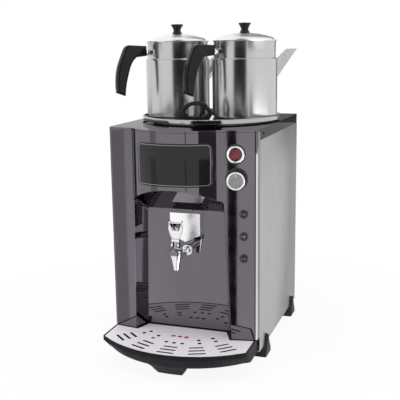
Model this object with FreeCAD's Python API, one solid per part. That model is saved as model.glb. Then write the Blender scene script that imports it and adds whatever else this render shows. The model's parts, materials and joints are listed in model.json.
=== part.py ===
import FreeCAD, Part
import math
import os

# Hot water urn with two teapots on its lid. Lengths are in millimetres.
# X points right as seen from the front, Y to the back, Z up, and the table is at z = 0.
# Pieces are placed from the middle of the casing, and moved once at the end,
# so that the origin lies on the table under the middle of the whole footprint.

# Casing
casing_width = 320.0
casing_depth = 370.0
casing_top = 488.0
base_height = 25.0
sheet = 1.0
front_sheet = 1.2
base_sheet = 1.2
lip_width = 10.0
front_lip_reach = 4.5
cover_flange = 21.0
cover_lip = 4.0
seam_gap = 1.0
seam_clearance = 0.4
top_lip_depth = 10.0
return_depth = 13.0
front_corner_radius = 9.0
back_corner_radius = 3.0
base_flange = 14.0

# Front panel: how far each fold stands in front of the casing's front corners
left_fold_x = -104.0
left_fold_reach = 10.0
joggle_width = 4.0
joggle_reach = 5.0
bow_reach = 52.0
right_fold_x = 80.0
right_fold_reach = 20.0
left_corner_reach = 1.0
right_corner_reach = 4.5

# Niche for the glass
niche_depth_y = -158.0
niche_back_left = 94.0
niche_back_right = 90.0
niche_top_left = 88.0
niche_top_right = 80.0
niche_back_top = 316.0
niche_splay_left = 0.36
niche_splay_right = 0.31
niche_splay_right_low = 0.43
niche_roof_slope = 0.68
niche_corner_radius = 6.0

# Drip tray
tray_top = 57.0
tray_side_reach = 257.0
tray_reach = 316.0
tray_width = 313.0
tray_corner_radius = 9.0
tray_rim_height = 8.0
tray_side_setback = 26.0
tray_bow_setback = 15.0
tray_floor_gap = 0.3
tray_wall = 2.5
tray_panel_gap = 0.5
tray_back_gap = 1.5
tray_ledge = 3.5
tray_ledge_thickness = 3.0
lug_half_width = 26.0
lug_reach = 276.0
lug_depth = 26.0
lug_flare = 5.0
lug_fillet = 15.0

# Grille
grille_thickness = 1.5
grille_drop = 0.4
grille_rim = 3.0
grille_gap = 0.5
grille_back_gap = 2.0
tongue_gap = 5.0
pillar_gap = 2.5
fan_centre_y = -125.0
fan_angle = 21.0
slot_width = 5.0
slot_rows = ((175.0, 36.0), (160.0, 33.5), (145.0, 30.0))
hole_radius = 4.0
float_hole_radius = 4.6
float_hole_pitch = 14.4
float_y = -214.3
float_gap = 0.6

# Feet
front_foot_y = -118.0
rear_foot_y = 137.0
foot_width = 44.0
foot_inner = 26.0
leaf_thickness = 6.0
leaf_height = 46.0
leaf_tip = 7.0
leaf_foot = 9.0
leaf_draft = 1.6

# Boiler tank
tank_width = 286.0
tank_front_y = -140.0
tank_back_y = 150.0
tank_bottom = 205.0
tank_top = 478.0
tank_wall = 1.5
tank_corner_radius = 30.0
neck_radius = 128.0
neck_wall = 3.0
neck_top = 491.0
cover_neck_gap = 5.0
gasket_height = 3.5

# Lid plate and teapots
lid_centre_y = 12.0
lid_sheet = 1.0
lid_rim_top = 500.4
lid_rim_width = 4.6
lid_rim_gap = 0.4
lid_skirt_bottom = 491.5
lid_spigot_gap = 1.5
lid_spigot_depth = 12.0
handle_y = -90.0
handle_depth = 12.0
handle_half_width = 38.5
handle_base_half = 27.0
handle_height = 39.5
handle_band = 8.5
handle_crown_radius = 34.0
handle_shoulder_radius = 6.0
handle_foot_radius = 4.0

pot_radius = 71.0
pot_gap = 7.0
pot_wall = 1.2
pot_bottom_radius = 6.0
neck_inset = 3.5
pot_height = 163.5
pot_neck_height = 39.5
pot_lid_inset = 0.2
pot_lid_rise = 17.0
pot_handle_angle = 230.0
pot_handle_thickness = 16.5
pot_handle_fillet = 5.0
pot_handle_drop = 0.7
ferrule_width = 12.0
ferrule_height = 13.0
ferrule_reach = 12.5
knob_height = 22.0
knob_top_radius = 13.5
knob_waist_radius = 8.0
knob_base_radius = 11.0
spout_wall = 1.2
spout_root_inset = 13.0
spout_root_half = 18.6
spout_mouth_start = 44.0
spout_mouth_end = 71.6
spout_mouth_half = 8.5
spout_low_share = 0.327
spout_high_share = 0.618
spout_mouth_share = 0.89

# Tap
tap_y = -227.0
shank_z = 229.4
shank_radius = 7.4
shank_bore = 3.5
nozzle_bottom = 205.0
nozzle_radius = 5.3
nozzle_bore = 3.2
bonnet_bottom = 237.0
bonnet_radius = 12.5
bonnet_height = 12.0
chamber_radius = 6.0
seat_z = 222.0
rosette_radius = 12.3
rosette_height = 4.0
tap_nut_radius = 13.5
tap_nut_length = 7.0
stem_radius = 4.5
stem_gap = 0.05
pin_z = 258.0
pin_radius = 1.5
lever_top = 308.0
lever_half_width = 15.5
lever_thickness = 3.0
guard_y = -172.0
guard_half_width = 33.0
guard_top = 311.0
guard_side_bottom = 265.0
guard_point = 249.5

# Controls on the right of the front panel
switch_x = 117.0
switch_z = 441.0
switch_radius = 20.0
switch_hole = 15.0
switch_depth = 22.0
switch_flange = 2.0
switch_ring_radius = 17.5
switch_ring_height = 4.4
rocker_radius = 12.3
rocker_pin_radius = 1.2
rocker_pin_reach = 13.8
rocker_pin_z = -0.5
rocker_tilt = 9.0
dial_x = 119.0
dial_z = 392.0
dial_radius = 22.5
dial_thickness = 1.2
thermostat_knob_radius = 18.5
thermostat_knob_height = 24.0
spindle_radius = 3.0
spindle_depth = 17.0
running_gap = 0.05
lamp_x = 133.0
lamp_heights = {"lamp_green": 321.6, "lamp_amber": 276.0, "lamp_red": 230.5}
lamp_radius = 9.0
lamp_lens_radius = 4.5
lamp_lens_height = 4.0
lamp_depth = 16.0

# Name plaque, left blank
plaque_left = -82.0
plaque_right = 74.0
plaque_bottom = 377.0
plaque_top = 463.0
plaque_thickness = 1.5
plaque_glue = 0.25
plaque_corner = 10.0

# Back panel fittings
gland_x = 100.0
gland_z = 62.0
gland_reach = 14.0
gland_bore = 4.0
gland_barrel = 7.9
gland_hex_radius = 12.0
gland_hex_height = 5.0
gland_nut_radius = 11.0
vent_rows = 8
vent_pitch = 10.0
vent_length = 60.0
vent_width = 3.0
vent_bottom = 100.0
vent_offset = 70.0

# Fittings inside the casing
stand_x = 96.0
stand_front_y = -110.0
stand_back_y = 130.0
stand_half_width = 12.0
stand_sheet = 2.0
element_z = 234.0
element_plug_radius = 16.0
element_tube = 4.2
element_half_pitch = 9.0
element_bend_y = -70.0
thermostat_case_width = 34.0
thermostat_case_height = 38.0
thermostat_case_depth = 18.0
bulb_radius = 4.0
bulb_length = 100.0
capillary_radius = 1.4
cutout_x = -115.0
cutout_z = 330.0
cutout_radius = 12.0
cutout_height = 9.0
terminal_length = 50.0
terminal_depth = 20.0
terminal_height = 20.0
terminal_pitch = 15.0

# Screws
cover_screw_front_y = -142.0
cover_screw_back_y = 145.0
cover_screw_radius = 1.55
cover_screw_head = 2.6
foot_screw_radius = 2.0

# Worked out from the sizes above
half_width = casing_width / 2
front_y = -casing_depth / 2
back_y = casing_depth / 2
flange_bottom = casing_top - cover_flange
panel_top = casing_top - cover_lip
return_back_y = front_y + return_depth
side_front_y = return_back_y + seam_gap
base_top = base_height + base_sheet
tray_bottom = base_top + tray_floor_gap
tray_back_y = niche_depth_y - tray_back_gap
panel_bottom = tray_top + tray_panel_gap
gasket_top = neck_top + gasket_height
pot_base = gasket_top + lid_sheet
pot_offset = pot_radius + pot_gap
pot_shoulder = pot_height - pot_neck_height
pot_neck_radius = pot_radius - neck_inset
lid_radius = pot_offset + pot_radius + lid_rim_gap + lid_rim_width
inner_side = half_width - sheet
lip_inner = half_width - front_sheet - sheet
shift_y = (tray_reach - back_y - gland_reach) / 2

# Longer than anything here, for cutting tools
far = 1000.0

V = FreeCAD.Vector
UP = V(0, 0, 1)
BACK = V(0, 1, 0)
RIGHT = V(1, 0, 0)


def box(x0, x1, y0, y1, z0, z1):
    """A box between two corners."""
    return Part.makeBox(x1 - x0, y1 - y0, z1 - z0, V(x0, y0, z0))


def rod(radius, start, direction, length):
    """A cylinder from a point along a direction."""
    return Part.makeCylinder(radius, length, start, direction)


def ring(outer, inner, start, direction, length):
    """A tube from a point along a direction."""
    return rod(outer, start, direction, length).cut(rod(inner, start, direction, length))


def path_edges(points, place):
    """Edges through 2D points. An entry that holds two points is an arc through the first to the second."""
    edges = []
    here = points[0]
    for entry in points[1:]:
        if isinstance(entry[0], tuple):
            middle, end = entry
            edges.append(Part.Arc(place(here), place(middle), place(end)).toShape())
        else:
            end = entry
            edges.append(Part.LineSegment(place(here), place(end)).toShape())
        here = end
    return edges


def face_of(points, place):
    """A flat face bounded by a closed path."""
    edges = path_edges(points, place)
    start, end = edges[0].Vertexes[0].Point, edges[-1].Vertexes[-1].Point
    if (start - end).Length > 1e-6:
        edges.append(Part.LineSegment(end, start).toShape())
    return Part.Face(Part.Wire(edges))


def plan(point):
    return V(point[0], point[1], 0)


def turned(points, x, y):
    """A solid turned about the upright line at x, y from (radius, height) points."""
    face = face_of(points, lambda p: V(x + p[0], y, p[1]))
    return face.revolve(V(x, y, 0), UP, 360)


def rounded(points, radii):
    """The path through the points with its corners rounded. The path is open, and its ends stay sharp."""
    path = [points[0]]
    for before, corner, after, radius in zip(points, points[1:], points[2:], radii[1:]):
        to_before = V(before[0] - corner[0], before[1] - corner[1], 0).normalize()
        to_after = V(after[0] - corner[0], after[1] - corner[1], 0).normalize()
        half = to_before.getAngle(to_after) / 2
        reach = radius / math.tan(half)
        bisector = (to_before + to_after).normalize()
        centre = V(corner[0], corner[1], 0) + bisector * (radius / math.sin(half))
        middle = centre - bisector * radius
        start = V(corner[0], corner[1], 0) + to_before * reach
        end = V(corner[0], corner[1], 0) + to_after * reach
        path.append((start.x, start.y))
        path.append(((middle.x, middle.y), (end.x, end.y)))
    path.append(points[-1])
    return path


def rounded_rectangle(x0, x1, y0, y1, radius):
    """A closed path round a rectangle with rounded corners."""
    middle = (x0 + x1) / 2
    corners = [(middle, y0), (x1, y0), (x1, y1), (x0, y1), (x0, y0), (middle, y0)]
    return rounded(corners, [0, radius, radius, radius, radius, 0])


def hex_prism(radius, x, y, z, length):
    """A six-sided bar that runs to the back from its front face's middle."""
    corners = [V(x + radius * math.cos(math.radians(60 * i)), y, z + radius * math.sin(math.radians(60 * i)))
               for i in range(7)]
    return Part.Face(Part.makePolygon(corners)).extrude(V(0, length, 0))


def cap(radius, edge_z, top_z):
    """The end of a turned profile that runs as part of a sphere from its edge to the axis."""
    rise = top_z - edge_z
    sphere = (radius * radius + rise * rise) / (2 * rise)
    half = math.asin(min(1.0, radius / abs(sphere))) / 2
    middle_z = top_z - sphere + sphere * math.cos(half)
    return ((abs(sphere) * math.sin(half), middle_z), (0, top_z))


def prism(face, z0, z1):
    """A face of the plan, raised from one height to another."""
    base = face.copy()
    base.translate(V(0, 0, z0 - base.BoundBox.ZMin))
    return base.extrude(V(0, 0, z1 - z0))


def clean(shape):
    """The shape with faces on one surface joined."""
    return shape.removeSplitter()


# Points of the front panel's bowed outline
joggle_end_x = left_fold_x + joggle_width
joggle_end_y = front_y - left_fold_reach - joggle_reach
right_fold_y = front_y - right_fold_reach
right_corner_y = front_y - right_corner_reach
bow_middle_x = (joggle_end_x + right_fold_x) / 2


def casing_plan():
    """The casing from above: flat zone, joggle, bow and control zone in front, straight sides and back."""
    side = rounded(
        [
            (right_fold_x, right_fold_y),
            (half_width, right_corner_y),
            (half_width, back_y),
            (-half_width, back_y),
            (-half_width, front_y - left_corner_reach),
            (left_fold_x, front_y - left_fold_reach),
            (joggle_end_x, joggle_end_y),
        ],
        [0, front_corner_radius, back_corner_radius, back_corner_radius, front_corner_radius, 2.0, 0],
    )
    bow = ((bow_middle_x, front_y - bow_reach), (right_fold_x, right_fold_y))
    return face_of(side + [bow], plan)


plan_face = casing_plan()

# The control zone is flat: its own frame has x along the panel, y up and z out of it
zone_run = V(half_width - right_fold_x, right_corner_y - right_fold_y, 0).normalize()
zone_out = zone_run.cross(UP)


def zone_point(x, z):
    slope = zone_run.y / zone_run.x
    return V(x, right_fold_y + (x - right_fold_x) * slope, z)


def on_zone(shape, x, z):
    """Puts a shape made at the origin, facing +Z, on the control zone."""
    placed = shape.copy()
    turn = FreeCAD.Rotation(zone_run, UP, zone_out, "ZXY")
    placed.Placement = FreeCAD.Placement(zone_point(x, z), turn)
    return placed


def niche_space(grow):
    """The space in front of the niche liner, grown outwards by the liner's thickness."""
    bottom = panel_bottom

    def section(y):
        ahead = niche_depth_y + grow - y
        left_low = -niche_back_left - grow - ahead * niche_splay_left
        left_high = -niche_top_left - grow - ahead * niche_splay_left
        right_low = niche_back_right + grow + ahead * niche_splay_right_low
        right_high = niche_top_right + grow + ahead * niche_splay_right
        top = niche_back_top + grow + ahead * niche_roof_slope
        corners = [(0, bottom), (right_low, bottom), (right_high, top), (left_high, top), (left_low, bottom)]
        radius = niche_corner_radius + grow
        path = rounded(corners, [0, 0.001, radius, radius, 0])
        flat = [path[0], corners[1]] + path[3:] + [path[0]]
        return Part.Wire(path_edges(flat, lambda p: V(p[0], y, p[1])))

    return Part.makeLoft([section(niche_depth_y + grow), section(front_y - bow_reach - 10)], True, True)


def front_panel():
    """One bright sheet: the bowed front with its corner returns, cut for the niche and the controls."""
    shell = prism(plan_face, panel_bottom, panel_top)
    shell = shell.cut(prism(plan_face.makeOffset2D(-front_sheet), panel_bottom, panel_top))
    shell = shell.common(box(-far, far, -far, return_back_y, 0, far))
    shell = shell.cut(niche_space(0.0))
    holes = [on_zone(rod(switch_hole, V(0, 0, -10), UP, 20), switch_x, switch_z)]
    holes.append(on_zone(rod(spindle_radius + 1.0, V(0, 0, -10), UP, 20), dial_x, dial_z))
    for height in lamp_heights.values():
        holes.append(on_zone(rod(lamp_lens_radius + 0.6, V(0, 0, -10), UP, 20), lamp_x, height))
    return shell.cut(holes)


def niche_liner():
    """Back wall, roof and splayed sides of the niche, standing on the base."""
    inside = prism(plan_face.makeOffset2D(-front_sheet), base_top, panel_top)
    liner = niche_space(sheet).cut(niche_space(0.0)).common(inside)
    liner = liner.common(box(-far, far, -far, niche_depth_y + sheet, panel_bottom, far))
    back_y1 = niche_depth_y + sheet
    foot = box(-niche_back_left, niche_back_right, niche_depth_y, back_y1, base_top, panel_bottom + 1)
    liner = liner.fuse(foot)
    return clean(liner.cut(rod(shank_radius + 0.4, V(0, niche_depth_y - 5, shank_z), BACK, 10)))


def cover_screw_places():
    for side in (-1, 1):
        for y in (cover_screw_front_y, cover_screw_back_y):
            yield side, y


def top_cover():
    """The cover: a plate with a low lip in front and deep flanges round the sides and back."""
    inner = plan_face.makeOffset2D(-sheet)
    cover = prism(plan_face, flange_bottom, casing_top).cut(prism(inner, flange_bottom, casing_top - sheet))
    cover = cover.cut(box(-far, far, -far, side_front_y, flange_bottom - 1, panel_top))
    cover = cover.cut(rod(neck_radius + cover_neck_gap, V(0, lid_centre_y, casing_top - 10), UP, 20))
    for side, y in cover_screw_places():
        hole = rod(cover_screw_radius + 0.05, V(0, y, (flange_bottom + casing_top) / 2), RIGHT * side, far)
        cover = cover.cut(hole)
    return cover


def top_cover_screws():
    """Four dark screws through the side flanges."""
    screws = []
    for side, y in cover_screw_places():
        z = (flange_bottom + casing_top) / 2
        shank = rod(cover_screw_radius, V(side * (half_width - 6), y, z), RIGHT * side, 6.5)
        head = rod(cover_screw_head, V(side * half_width, y, z), RIGHT * side, 1.4)
        screws.append(clean(shank.fuse(head)))
    return Part.makeCompound(screws)


def side_panel(side):
    """A brushed side sheet with joggled lips behind the front panel and the cover's flange."""
    def part(x0, x1, y0, y1, z0, z1):
        return box(min(side * x0, side * x1), max(side * x0, side * x1), y0, y1, z0, z1)

    rear = back_y - sheet
    front = side_front_y
    top = flange_bottom - seam_clearance
    low = panel_bottom + 0.5
    panel = part(inner_side, half_width, front, back_y, base_height, top)
    joggle = part(lip_inner, inner_side, front, front + lip_width, low, top)
    front_lip = part(lip_inner, lip_inner + sheet, front - front_lip_reach, front, low, panel_top)
    top_lip_low = flange_bottom - top_lip_depth
    top_lip = part(inner_side - sheet, inner_side, front + 2, rear - 2, top_lip_low, panel_top - 2)
    panel = panel.fuse([joggle, front_lip, top_lip])
    for y in (cover_screw_front_y, cover_screw_back_y):
        z = (flange_bottom + casing_top) / 2
        panel = panel.cut(rod(cover_screw_radius + 0.05, V(0, y, z), RIGHT * side, far))
    return clean(panel)


def back_panel():
    """The flat back sheet with two groups of vents and the cable gland's hole."""
    inside = back_y - sheet
    panel = box(-inner_side, inner_side, inside, back_y, base_height, flange_bottom - seam_clearance)
    x = inner_side - 5
    lip = box(-x, x, inside - sheet, inside, flange_bottom - top_lip_depth, panel_top - 2)
    slots = []
    for side in (-1, 1):
        for row in range(vent_rows):
            z = vent_bottom + row * vent_pitch
            x = side * vent_offset
            slot = box(x - vent_length / 2, x + vent_length / 2, back_y - 5, back_y + 5, z, z + vent_width)
            slots.append(slot)
    slots.append(rod(gland_barrel + 0.1, V(gland_x, back_y - 5, gland_z), BACK, 10))
    return clean(panel.fuse(lip)).cut(slots)


def foot_places():
    for name_y, y in (("front", front_foot_y), ("rear", rear_foot_y)):
        for name_x, side in (("left", -1), ("right", 1)):
            yield "foot_" + name_y + "_" + name_x, side, y


def foot_screw_x(side):
    return side * (half_width - foot_inner / 2)


def base_pan():
    """The folded base that carries the sides, the tank stands and the tray's back end."""
    pan = box(-inner_side, inner_side, side_front_y, back_y - sheet, base_height, base_top)
    for side in (-1, 1):
        x0, x1 = sorted((side * inner_side, side * (inner_side - base_sheet)))
        pan = pan.fuse(box(x0, x1, niche_depth_y, back_y - 6, base_height, base_height + base_flange))
    for _, side, y in foot_places():
        pan = pan.cut(rod(foot_screw_radius + 0.1, V(foot_screw_x(side), y, 0), UP, base_top + 5))
    return clean(pan)


def foot(side, y):
    """A moulded foot: a pad under the base and a leaf that laps up the side panel."""
    half = foot_width / 2
    pad = box(half_width - foot_inner, half_width, y - half, y + half, 0, base_height)
    pad = pad.cut(rod(foot_screw_radius + 0.05, V(foot_screw_x(1), y, 6), UP, base_height))
    def leaf_wire(x, inset):
        wide = half - inset
        tip = leaf_tip * 0.6 - inset * 0.5
        top = leaf_height - inset
        waist = half * 0.6 - inset
        shoulder = top - 4
        path = [(y - wide, 0), (y + wide, 0), (y + wide, leaf_foot),
                ((y + waist, top * 0.5), (y + tip, shoulder)),
                ((y, top), (y - tip, shoulder)),
                ((y - waist, top * 0.5), (y - wide, leaf_foot)), (y - wide, 0)]
        return Part.Wire(path_edges(path, lambda p: V(x, p[0], p[1])))

    wires = [leaf_wire(half_width, 0), leaf_wire(half_width + leaf_thickness, leaf_draft)]
    leaf = Part.makeLoft(wires, True, True)
    shape = clean(pad.fuse(leaf))
    if side < 0:
        shape = shape.mirror(V(0, 0, 0), RIGHT)
    return shape


def foot_screws():
    """Four screws down through the base into the feet."""
    screws = []
    for _, side, y in foot_places():
        x = foot_screw_x(side)
        shank = rod(foot_screw_radius, V(x, y, 8), UP, base_top - 8)
        head = rod(foot_screw_radius * 2, V(x, y, base_top), UP, 2.2)
        screws.append(clean(shank.fuse(head)))
    return Part.makeCompound(screws)


def tank_plan(inset):
    half = tank_width / 2 - inset
    path = rounded_rectangle(-half, half, tank_front_y + inset, tank_back_y - inset, tank_corner_radius - inset)
    return face_of(path, plan)


def boiler_tank():
    """The welded stainless tank with a round filling neck."""
    tank = prism(tank_plan(0), tank_bottom, tank_top)
    neck = rod(neck_radius, V(0, lid_centre_y, tank_top - 1), UP, neck_top - tank_top + 1)
    tank = tank.fuse(neck)
    inside = prism(tank_plan(tank_wall), tank_bottom + tank_wall, tank_top - tank_wall)
    mouth = rod(neck_radius - neck_wall, V(0, lid_centre_y, tank_top - 5), UP, neck_top)
    tank = tank.cut(inside).cut(mouth)
    tap_hole = rod(shank_radius + 0.4, V(0, tank_front_y - tank_wall, shank_z), BACK, 3 * tank_wall)
    element_hole = rod(element_plug_radius, V(0, tank_back_y - 2 * tank_wall, element_z), BACK, 3 * tank_wall)
    return tank.cut([tap_hole, element_hole])


def tank_stands():
    """Two folded stands between the base and the tank."""
    stands = []
    for side in (-1, 1):
        x = side * stand_x
        half, wide = stand_sheet / 2, stand_half_width
        web = box(x - half, x + half, stand_front_y, stand_back_y, base_top, tank_bottom)
        low = box(x - wide, x + wide, stand_front_y, stand_back_y, base_top, base_top + stand_sheet)
        high = box(x - wide, x + wide, stand_front_y, stand_back_y, tank_bottom - stand_sheet, tank_bottom)
        stands.append(clean(web.fuse([low, high])))
    return Part.makeCompound(stands)


def lid_gasket():
    """The silicone ring on the neck."""
    return ring(neck_radius + 1.5, neck_radius - neck_wall, V(0, lid_centre_y, neck_top), UP, gasket_height)


def heating_element():
    """A flanged tubular element: two legs and a return bend."""
    pitch, bend_y = element_half_pitch, element_bend_y
    flange = rod(element_plug_radius + 8, V(0, tank_back_y, element_z), BACK, 6)
    plug = rod(element_plug_radius - 0.05, V(0, tank_back_y - tank_wall, element_z), BACK, tank_wall + 1)
    shape = flange.fuse(plug)
    for side in (-1, 1):
        leg = rod(element_tube, V(side * pitch, bend_y, element_z), BACK, tank_back_y + 18 - bend_y)
        shape = shape.fuse(leg)
    bend = Part.makeTorus(pitch, element_tube, V(0, bend_y, element_z), UP)
    bend = bend.common(box(-far, far, bend_y - far, bend_y, 0, far))
    return clean(shape.fuse(bend))


def thermostat_unit():
    """The thermostat behind the dial: case, bush, capillary and a bulb along the tank's front wall."""
    w, h = thermostat_case_width / 2, thermostat_case_height / 2
    case_back = front_sheet + 2 + thermostat_case_depth
    case = box(-w, w, -h, h, -case_back, -front_sheet - 2)
    bush = rod(spindle_radius + 0.9, V(0, 0, -front_sheet - 3), UP, 4)
    body = case.fuse(bush).cut(rod(spindle_radius + running_gap, V(0, 0, -spindle_depth - 1), UP, far))
    body = on_zone(body, dial_x, dial_z)
    bulb_y = tank_front_y - bulb_radius - 0.1
    bulb = rod(bulb_radius, V(dial_x, bulb_y, dial_z + 15 - bulb_length), UP, bulb_length)
    start_y = zone_point(dial_x, 0).y + case_back - 1.5
    capillary = rod(capillary_radius, V(dial_x, start_y, dial_z), BACK, bulb_y - start_y)
    return clean(body.fuse([bulb, capillary]))


def safety_cutout():
    """The limit switch on the tank's front wall."""
    x, y, z = cutout_x, tank_front_y - cutout_height, cutout_z
    disc = rod(cutout_radius, V(x, y, z), BACK, cutout_height)
    blades = box(x - cutout_radius / 2, x + cutout_radius / 2, y - 7, y, z - 0.5, z + 0.5)
    return clean(disc.fuse(blades))


def terminal_block():
    """The mains terminal block on the base."""
    x, y = gland_x - terminal_length, back_y - 35
    half, deep = terminal_length / 2, terminal_depth / 2
    block = box(x - half, x + half, y - deep, y + deep, base_top, base_top + terminal_height)
    wells = [rod(2, V(x + terminal_pitch * i, y, base_top + 12), UP, terminal_height) for i in (-1, 0, 1)]
    return block.cut(wells)


def cable_gland():
    """The gland in the back panel, with its dome, nut and bore."""
    hexagon = hex_prism(gland_hex_radius, gland_x, back_y, gland_z, gland_hex_height)
    dome_y = back_y + gland_hex_height
    dome = Part.makeCone(10, 6.5, gland_reach - gland_hex_height, V(gland_x, dome_y, gland_z), BACK)
    barrel = rod(gland_barrel, V(gland_x, back_y - 8, gland_z), BACK, 8)
    nut = rod(gland_nut_radius, V(gland_x, back_y - sheet - 5, gland_z), BACK, 5)
    gland = hexagon.fuse([dome, barrel, nut])
    return clean(gland.cut(rod(gland_bore, V(gland_x, back_y - 20, gland_z), BACK, 60)))


def name_plaque():
    """A blank plate that follows the bow."""
    outline = rounded_rectangle(plaque_left, plaque_right, plaque_bottom, plaque_top, plaque_corner)
    window = face_of(outline, lambda p: V(p[0], front_y - bow_reach - 20, p[1])).extrude(V(0, 100, 0))
    skin = prism(plan_face.makeOffset2D(plaque_glue + plaque_thickness), plaque_bottom, plaque_top)
    skin = skin.cut(prism(plan_face.makeOffset2D(plaque_glue), plaque_bottom, plaque_top))
    return skin.common(window)


def dial_plate():
    """The black disc behind the knob."""
    hole = spindle_radius + 1.0
    return on_zone(ring(dial_radius, hole, V(0, 0, 0), UP, dial_thickness), dial_x, dial_z)


def thermostat_knob():
    """The knob and its spindle."""
    foot_z = dial_thickness + 0.3
    top = thermostat_knob_height
    points = [(0, foot_z), (thermostat_knob_radius + 0.8, foot_z), (thermostat_knob_radius, top - 2),
              ((thermostat_knob_radius - 0.6, top - 0.6), (thermostat_knob_radius - 2, top)),
              (thermostat_knob_radius - 3.5, top - 0.8), (0, top - 0.8)]
    knob = turned(points, 0, 0)
    spindle = rod(spindle_radius, V(0, 0, -spindle_depth), UP, spindle_depth + 3)
    return on_zone(clean(knob.fuse(spindle)), dial_x, dial_z)


def switch_body():
    """The round switch's black bezel and barrel, with the bores for the rocker's trunnions."""
    barrel = rod(switch_hole - 0.2, V(0, 0, -switch_depth), UP, switch_depth)
    body = rod(switch_radius, V(0, 0, 0), UP, switch_flange).fuse(barrel)
    body = body.cut(rod(rocker_radius + 0.5, V(0, 0, -9), UP, 20))
    bore_reach = rocker_pin_reach + 0.2
    bore = rocker_pin_radius + running_gap
    body = body.cut(rod(bore, V(-bore_reach, 0, rocker_pin_z), RIGHT, 2 * bore_reach))
    blades = [box(x - 2.4, x + 2.4, -0.4, 0.4, -switch_depth - 8, -switch_depth) for x in (-6.0, 6.0)]
    return on_zone(clean(body.fuse(blades)), switch_x, switch_z)


def switch_ring():
    """The chrome ring on the bezel."""
    low, top, r = switch_flange, switch_ring_height, switch_ring_radius
    points = [(rocker_radius + 0.7, low), (r, low), (r, top - 1.2), ((r - 0.5, top - 0.4), (r - 1.5, top)),
              (rocker_radius + 1.6, top), (rocker_radius + 0.7, top - 1)]
    return on_zone(turned(points, 0, 0), switch_x, switch_z)


def switch_rocker():
    """The lit rocker on its trunnions, resting at one end of its tilt."""
    disc = rod(rocker_radius, V(0, 0, -3), UP, 5)
    dish = Part.makeSphere(40, V(0, 0, 41))
    disc = disc.cut(dish)
    pins = rod(rocker_pin_radius, V(-rocker_pin_reach, 0, rocker_pin_z), RIGHT, 2 * rocker_pin_reach)
    rocker = clean(disc.fuse(pins))
    rocker.rotate(V(0, 0, rocker_pin_z), RIGHT, rocker_tilt)
    turn = FreeCAD.Rotation(zone_run, UP, zone_out, "ZXY")
    placement = FreeCAD.Placement(zone_point(switch_x, switch_z), turn)
    rocker.Placement = placement.multiply(rocker.Placement)
    return rocker


def lamp_bezels():
    """Three dark bezels with barrels through the panel."""
    bezels = []
    for height in lamp_heights.values():
        barrel = lamp_lens_radius + 0.5
        points = [(0, -lamp_depth), (barrel, -lamp_depth), (barrel, 0), (lamp_radius, 0),
                  (lamp_radius, 1.2), ((lamp_radius - 0.6, 2.6), (lamp_radius - 2.2, 3.0)),
                  (lamp_lens_radius, 1.6), (lamp_lens_radius, -2), (0, -2)]
        bezels.append(on_zone(turned(points, 0, 0), lamp_x, height))
    return Part.makeCompound(bezels)


def lamp_lens(height):
    """A domed lens in its bezel."""
    r = lamp_lens_radius - 0.02
    points = [(0, -2), (r, -2), (r, 1.2), cap(r, 1.2, lamp_lens_height)]
    return on_zone(turned(points, 0, 0), lamp_x, height)


def tap_guard():
    """The chrome plate behind the tap, folded back to the niche wall. It is left blank."""
    def outline(inset):
        w = guard_half_width - inset
        return [(-w, guard_top - inset), (-w, guard_side_bottom), (0, guard_point), (w, guard_side_bottom),
                (w, guard_top - inset), (-w, guard_top - inset)]

    solid = face_of(outline(0), lambda p: V(p[0], guard_y, p[1])).extrude(V(0, niche_depth_y - guard_y, 0))
    hollow = face_of(outline(sheet), lambda p: V(p[0], guard_y + sheet, p[1]))
    hollow = hollow.extrude(V(0, niche_depth_y - guard_y, 0))
    low = box(-far, far, guard_y + sheet, 0, 0, guard_side_bottom)
    return solid.cut(hollow).cut(low)


def tap_rosette():
    """The round escutcheon on the niche wall."""
    bore, r, h = shank_radius + 0.1, rosette_radius, rosette_height
    points = [(bore, 0), (r, 0), (r, h - 2.5), ((r - 0.7, h - 0.8), (r - 2.5, h)), (bore, h)]
    disc = turned(points, 0, 0)
    disc.rotate(V(0, 0, 0), RIGHT, 90)
    disc.translate(V(0, niche_depth_y, shank_z))
    return disc


def tap_body():
    """The chrome casting: shank, conical body and nozzle, with its water way and seat."""
    top = bonnet_bottom
    cone = turned([(0, nozzle_bottom), (nozzle_radius, nozzle_bottom), (nozzle_radius + 0.5, nozzle_bottom + 2),
                   (bonnet_radius - 1.0, top - 3), (bonnet_radius - 0.5, top), (0, top)], 0, tap_y)
    body = cone.fuse(rod(shank_radius, V(0, tap_y, shank_z), BACK, tank_front_y + 12 - tap_y))
    body = body.cut(rod(chamber_radius, V(0, tap_y, seat_z), UP, top))
    body = body.cut(rod(nozzle_bore, V(0, tap_y, nozzle_bottom - 5), UP, top))
    return clean(body.cut(rod(shank_bore, V(0, tap_y, shank_z), BACK, far)))


def tap_bonnet():
    """The knurled bonnet that guides the stem."""
    top = bonnet_bottom + bonnet_height
    r, low = bonnet_radius, bonnet_bottom
    points = [(0, low), (r - 0.6, low), (r, low + 1), (r, top - 2.5), (r - 2.5, top), (0, top)]
    bonnet = turned(points, 0, tap_y)
    grooves = []
    for i in range(24):
        angle = math.radians(15 * i)
        x, y = bonnet_radius * math.cos(angle), tap_y + bonnet_radius * math.sin(angle)
        grooves.append(rod(0.7, V(x, y, bonnet_bottom + 2), UP, bonnet_height - 6))
    bonnet = bonnet.cut(grooves)
    bonnet = bonnet.cut(rod(chamber_radius, V(0, tap_y, bonnet_bottom - 1), UP, bonnet_height - 2))
    return bonnet.cut(rod(stem_radius + stem_gap, V(0, tap_y, bonnet_bottom), UP, bonnet_height + 5))


def tap_nuts():
    """The nut behind the niche wall and the nut inside the tank."""
    nuts = []
    length = tap_nut_length
    for y in (niche_depth_y + sheet, tank_front_y + tank_wall):
        nut = hex_prism(tap_nut_radius, 0, y, shank_z, length)
        nuts.append(nut.cut(rod(shank_radius + 0.05, V(0, y - 1, shank_z), BACK, length + 2)))
    return Part.makeCompound(nuts)


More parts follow.
